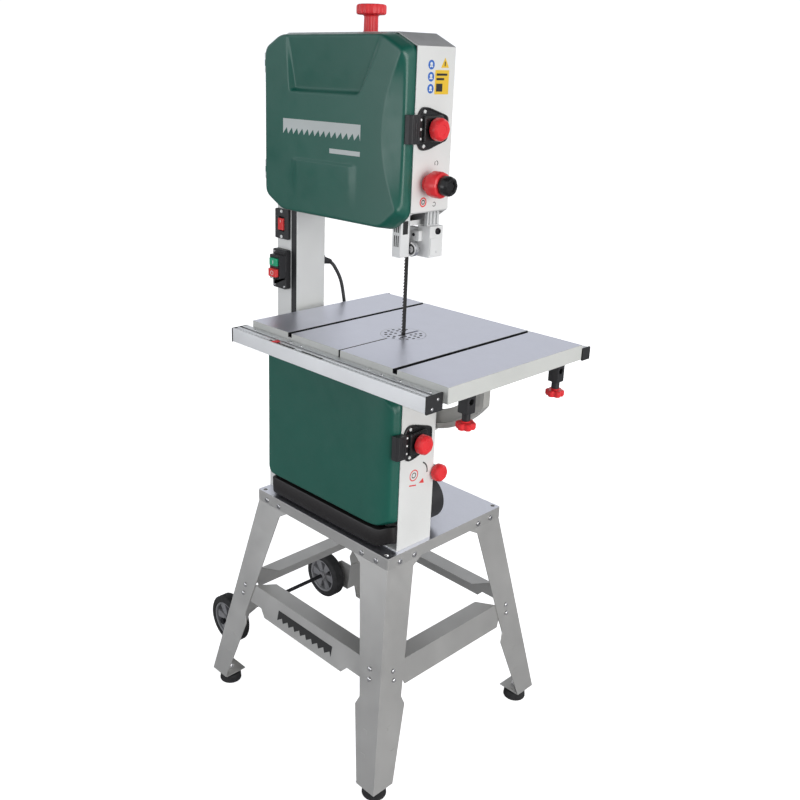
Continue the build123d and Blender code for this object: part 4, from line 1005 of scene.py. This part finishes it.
def feet():
    """Ribbed rubber pads, each on a stud with two nuts."""
    pad = [(23.5, 0), (26, 0.6), (26.8, 2.5), (26.6, 5)]
    for k in range(4):
        z, radius = 6.0 + 3.2 * k, 26.2 - 0.3 * k
        pad += [(radius, z), (radius - 1.2, z + 0.6), (radius - 1.2, z + 1.8), (radius, z + 2.4)]
    pad += [(24.6, 19.2), (23, 20), (8, 20)]

    def nut(low, high, chamfer):
        return turned([(8.4, low), (9, low + chamfer), (9, high - chamfer), (8.4, high)], 24,
                      lambda a, r, h: r * six(a) * 0.94 if r > 8 else r)
    stud = [nut(20.1, 27.9, 0.7), nut(30.6, 36.4, 0.6),
            turned([(r, 20 + h) for r, h in thread(5.0, 4.5, 0.9, 21.7)], 20)]
    places = [Matrix.Translation(at(sx * 262, sy * 246, 0)) for sx in (-1, 1) for sy in (-1, 1)]
    make("foot_pads", merge([moved(turned(pad, 48), place) for place in places]), "levelling_feet", TYRE,
         replaces="levelling_feet")
    make("foot_studs", merge([moved(part, place) for place in places for part in stud]), "levelling_feet", ZINC)


def wheel_spoke():
    """One flared spoke along +X with chamfered faces."""
    outline = []
    for radius, spread in ((42.0, -16), (12.0, 27)):
        for part in range(5):
            a = math.radians(spread) * (1 - part / 2)
            outline.append((radius * math.cos(a), radius * math.sin(a)))
    return loops_to_faces([[(px * sx * MM, py * sy * MM, h * MM) for px, py in outline]
                           for h, sx, sy in ((6.5, 0.985, 0.97), (7.5, 1, 1), (27.5, 1, 1), (28.5, 0.985, 0.97))])


def transport_wheels():
    """Spoked plastic hub and ribbed rubber tyre on each side, and the axle with its two nuts."""
    tyre = [(55.0, 0), (59.5, 1.2), (61.6, 3)]
    for k in range(8):
        z = 4.5 + 3.4 * k
        tyre += [(63.0, z), (63.0, z + 1.9), (61.6, z + 2.2), (61.6, z + 3.0)]
    tyre += [(61.6, 32), (59.5, 33.8), (55.0, 35), (48.2, 35), (46.8, 33.5), (46.8, 1.5), (48.2, 0)]
    rim = [(46.9, 2), (46.9, 33), (45.5, 33.4), (42.5, 32.4), (41.5, 30), (41.5, 22), (41.5, 13), (41.5, 5),
           (42.5, 2.6), (45.5, 1.6)]
    boss = [(13, -1.8), (13, 34.8), (11.5, 35.5), (6.0, 35.5), (5.1, 34.6), (5.1, -0.8), (6.0, -1.8)]
    hub = merge([turned(rim, 72, ring=True), turned(boss, 40, ring=True)] + [
        moved(wheel_spoke(), Matrix.Rotation(math.radians(60 * k), 4, "Z")) for k in range(6)])
    for node in ("transport_wheel_front", "transport_wheel_rear"):
        _, _, centre = box_of(node)
        place = aim(at(centre.x, centre.y - 17.5, centre.z), Y_AXIS)
        lathe(node + "_tyre", node, TYRE, tyre, place, 96, ring=True, replaces=node)
        make(node + "_hub", hub, node, HUB, bevel=0.4, matrix=place)
    low, high, centre = box_of("transport_axle")
    length = high.y - low.y
    nut = [(5, 0), (7.4, 0.01), (8, 0.6), (8, 4.6), (7.4, 5.2), (5.0, 5.21)]
    lathe("axle_rod", "transport_axle", BLACK_STEEL_AND_SLOT_SHADE, nut + [(r, length - h) for r, h in nut[::-1]],
          aim(at(centre.x, low.y, centre.z), Y_AXIS), 36, lambda a, r, h: r * six(a) * 0.93 if r > 6.5 else r,
          slot=SLOT_OF["transport_axle"], replaces="transport_axle")


def leg_dimples():
    """Small pressed marks low on both flanges of every leg."""
    wide, high, proud = 0.006, 0.004, 0.0006
    parts = []
    for sx, sy in ((-1, -1), (-1, 1), (1, -1), (1, 1)):
        for x, z in ((237, 147), (242, 95)):
            tilt = Matrix.Rotation(sy * math.atan(SLOPE_Y), 4, "X")
            parts.append(moved(box_part((-wide, -proud, -high), (wide, proud, high)),
                               Matrix.Translation(at(sx * x, sy * leg_y(z), z)) @ tilt))
        for y, z in ((216, 157), (211, 100)):
            tilt = Matrix.Rotation(-sx * math.atan(SLOPE_X), 4, "Y")
            parts.append(moved(box_part((-proud, -wide, -high), (proud, wide, high)),
                               Matrix.Translation(at(sx * leg_x(z), sy * y, z)) @ tilt))
    make("leg_dimples", merge(parts), "stand_legs", GREY, bevel=0.25)


def stand():
    # The faces that look up get the lighter bluish silver as painted reflection.
    softened("stand_top", GREY, bevel=0.9, top=TOP_REFLECTION_SILVER)
    softened("stand_legs", GREY, bevel=0.35)
    softened("stand_braces", GREY, bevel=0.3)
    leg_dimples()
    fasteners()
    feet()
    transport_wheels()
    mark_z = 247
    lean = Matrix.Rotation(-math.atan(SLOPE_Y), 4, "X")
    saw_mark("brace_mark", "frame", Matrix.Translation(at(-90, 2.4 - leg_y(mark_z), mark_z)) @ lean @ UPRIGHT,
             189, 25, 21, BLACK_PRINT_AND_SHADE)


# ---- drive, rear and lead -----------------------------------------------------------------------------------
MOTOR_X, MOTOR_Z = -22, 631


def spring():
    """Coil of round wire with seven turns between the spring's ends."""
    turns, steps, sides, radius, wire = 7, 26, 10, 8.5, 2.4
    low, high, centre = box_of("tension_spring")
    bottom, top = low.z + wire, high.z - wire
    loops = []
    for k in range(turns * steps + 1):
        a = 2 * math.pi * k / steps
        z = bottom + (top - bottom) * smooth_step(k / (turns * steps), 0.0, 1.0)
        out = Vector((math.cos(a), math.sin(a), 0))
        ring = [2 * math.pi * j / sides for j in range(sides)]
        loops.append([at(centre.x, centre.y, z + wire * math.sin(b)) + out * (radius + wire * math.cos(b)) * MM
                      for b in ring])
    make("tension_coil", loops_to_faces(loops), "tension_spring", STEEL, replaces="tension_spring")


def drive():
    for node, look, bevel in (
            ("upper_wheel", CASTING, 0.5), ("lower_wheel", CASTING, 0.5), ("upper_tyre", TYRE, 0.5),
            ("lower_tyre", TYRE, 0.5), ("wheel_carrier", CAST, 0.5), ("shaft_housing", CASTING, 0.5),
            ("motor", CAST, 0.5), ("motor_pulley", STEEL, 0.5), ("motor_covers", BLACK, 0.8),
            ("dust_port", BLACK, 0.8), ("drive_belt", TYRE, 0.5)):
        softened(node, look, bevel=bevel)
    spring()
    fan = aim(at(MOTOR_X, 147, MOTOR_Z), Y_AXIS)
    for k in range(4):
        radius = 12 + 11 * k
        lathe(f"fan_grille_{k}", "frame", SOOT,
              [(radius, -0.2), (radius + 4, -0.2), (radius + 4, 1.0), (radius, 1.0)], fan, 64, ring=True)
    ribs = [moved(box_part((10 * MM, -1.2 * MM, -0.2 * MM), (54 * MM, 1.2 * MM, 1.6 * MM)),
                  Matrix.Rotation(math.radians(45 * k), 4, "Z")) for k in range(8)]
    make("fan_spokes", merge(ribs), "frame", SOOT, bevel=0.2, matrix=fan)
    for k, (dx, dy) in enumerate(((-28, 8), (28, 8), (-28, 68), (28, 68))):
        angle = math.radians(45 + 90 * k)
        out = Vector((math.cos(angle), 0, math.sin(angle)))
        screw(f"fan_screw_{k}", at(MOTOR_X, 120, MOTOR_Z) + out * 62 * MM, out, 3.4, ZINC)
        screw(f"port_screw_{k}", at(150, -42, 588) + out * 53 * MM, Y_AXIS, 2.4, ZINC, height=1.4)
        screw(f"terminal_screw_{k}", at(MOTOR_X + dx, dy, 729), Z_AXIS, 2.8, ZINC, height=1.6)


LEAD_ROUTE = [(-163, -43, 1076), (-160, -14, 1068), (-146, 2, 1030), (-136, 6, 975), (-132, 8, 915),
              (-130, 14, 855), (-124, 24, 798), (-108, 34, 750), (-84, 38, 716), (-56, 38, 711)]
LEAD_LENGTH, LEAD_WIDTH = 0.426, 8 * MM


def lead_line(steps=10):
    """The lead's route with every corner rounded."""
    points = [Vector(p) for p in LEAD_ROUTE]
    line = [points[0]]
    for before, here, after in zip(points, points[1:], points[2:]):
        reach = 0.45 * min((here - before).length, (after - here).length)
        a, b = here.lerp(before, reach / (here - before).length), here.lerp(after, reach / (after - here).length)
        line += turn_corner(a, here, b, steps)
    line.append(points[-1])
    return [at(*p) for p in line]


def lead():
    """Motor lead out of the column into the terminal box, with its ribbed relief and gland."""
    line = lead_line()
    curve = bpy.data.curves.new("motor_lead_cable", "CURVE")
    curve.dimensions, curve.bevel_depth, curve.bevel_resolution = "3D", LEAD_WIDTH / 2, 5
    curve.use_fill_caps = True
    spline = curve.splines.new("POLY")
    spline.points.add(len(line) - 1)
    for point, spot in zip(spline.points, line):
        point.co = (*spot, 1)
    curve.materials.append(CABLE)
    cable = add("motor_lead_cable", curve)
    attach(cable, BODY_OF["motor_lead"])
    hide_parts("motor_lead")
    relief = [(13, -2.0), (13, 1.6), (12, 2.4), (9.2, 2.6)]
    for k in range(7):
        radius, h = 8.6 - 0.45 * k, 3.4 + 3.2 * k
        relief += [(radius, h), (radius, h + 1.8), (radius - 0.9, h + 2), (radius - 0.9, h + 3)]
    relief += [(4.9, 27), (4.15, 27.4), (4.15, -2.0)]
    lathe("lead_relief", "motor_lead", CABLE, relief, aim(line[0], at(*LEAD_ROUTE[1]) - at(*LEAD_ROUTE[0])), 32,
          ring=True)
    gland = [(9, 0), (9, 5), (7.6, 9), (5.2, 16), (4.2, 16), (4.2, 0)]
    lathe("lead_gland", "motor_lead", CABLE, gland, aim(line[-1] - X_AXIS * 2 * MM, -X_AXIS), 28, ring=True)


for build in (doors, housings, knobs, blade, guides, table, switches, stand, drive, lead):
    build()


# ---- studio -------------------------------------------------------------------------------------------------
def camera():
    """Seen from the front right and above the table, slightly rolled, with a small shift of the frame."""
    view = add("camera", bpy.data.cameras.new("camera"))
    yaw, pitch, roll = math.radians(46.5), math.radians(-17.4), math.radians(1.4)
    right = Vector((math.cos(yaw), math.sin(yaw), 0))
    ahead = Vector((-math.sin(yaw) * math.cos(pitch), math.cos(yaw) * math.cos(pitch), math.sin(pitch)))
    up = right.cross(ahead)
    across = right * math.cos(roll) + up * math.sin(roll)
    upward = up * math.cos(roll) - right * math.sin(roll)
    view.matrix_world = Matrix((across, upward, -ahead)).transposed().to_4x4()
    view.location = at(1389, -1407, 1502)
    view.data.lens, view.data.sensor_width = 41.4, 36
    view.data.shift_x, view.data.shift_y = 0.0576, -0.0589
    bpy.context.scene.camera = view


def floor():
    """Plain pale floor that looks white but throws little light back up."""
    reach = 60.0
    mesh = bpy.data.meshes.new("floor")
    mesh.from_pydata([(-reach, -reach, 0), (reach, -reach, 0), (reach, reach, 0), (-reach, reach, 0)], [],
                     [(0, 1, 2, 3)])
    look = Look("floor")
    seen = look.nodes.new("ShaderNodeLightPath").outputs["Is Camera Ray"]
    pale = look.mix(look.noise(0.6, 2.0), (0.90, 0.90, 0.90), (0.92, 0.92, 0.92))
    look.link(look.mix(seen, (0.40, 0.40, 0.41), pale), "Base Color")
    look.set(Roughness=0.7, Emission_Color=(1, 1, 1, 1))
    look.link(look.math("MULTIPLY", seen, 0.78), "Emission Strength")
    mesh.materials.append(look.material)
    add("floor", mesh)


def lamps():
    """Soft square lamps aimed at the table's height; the back one isn't mirrored in the table."""
    for name, place, size, power, colour in (
            ("key", (3.6, -0.3, 1.3), 2.4, 74.0, (1.0, 0.99, 0.97)),
            ("fill", (-1.5, -3.4, 0.95), 2.2, 34.0, (0.97, 0.98, 1.0)),
            ("back", (-1.0, 3.8, 2.6), 3.0, 40.0, (0.92, 0.95, 1.0))):
        lamp = add(name, bpy.data.lights.new(name, "AREA"))
        lamp.data.shape, lamp.data.size, lamp.data.energy, lamp.data.color = "SQUARE", size, power, colour
        lamp.location = place
        lamp.visible_glossy = name != "back"
        lamp.rotation_mode = "QUATERNION"
        lamp.rotation_quaternion = (Vector(place) - Vector((0, 0, 0.8))).to_track_quat("Z", "Y")


def backdrop():
    """Pale world, darker overhead so that faces that look up keep their tone; plain white to the camera."""
    world = bpy.data.worlds.new("studio")
    bpy.context.scene.world = world
    world.use_nodes = True
    nodes, links = world.node_tree.nodes, world.node_tree.links

    def node(kind, operation=None, **values):
        made = nodes.new(kind)
        if operation:
            made.operation = operation
        for key, value in values.items():
            made.inputs[key.replace("_", " ")].default_value = value
        return made
    sky = nodes["Background"]
    sky.inputs["Color"].default_value = (0.94, 0.96, 1.0, 1)
    ray = node("ShaderNodeLightPath")
    direction = node("ShaderNodeTexCoord")
    parts = node("ShaderNodeSeparateXYZ")
    gradient = node("ShaderNodeMapRange", From_Min=0.45, From_Max=0.85, To_Min=0.82, To_Max=0.08)
    white = node("ShaderNodeMath", "MULTIPLY")
    white.inputs[1].default_value = 1.12
    level = node("ShaderNodeMath", "MAXIMUM")
    for source, target in ((direction.outputs["Generated"], parts.inputs["Vector"]),
                           (parts.outputs["Z"], gradient.inputs["Value"]),
                           (ray.outputs["Is Camera Ray"], white.inputs[0]),
                           (white.outputs["Value"], level.inputs[0]),
                           (gradient.outputs["Result"], level.inputs[1]),
                           (level.outputs["Value"], sky.inputs["Strength"])):
        links.new(source, target)
    bpy.context.scene.view_settings.view_transform = "Standard"


camera()
floor()
lamps()
backdrop()
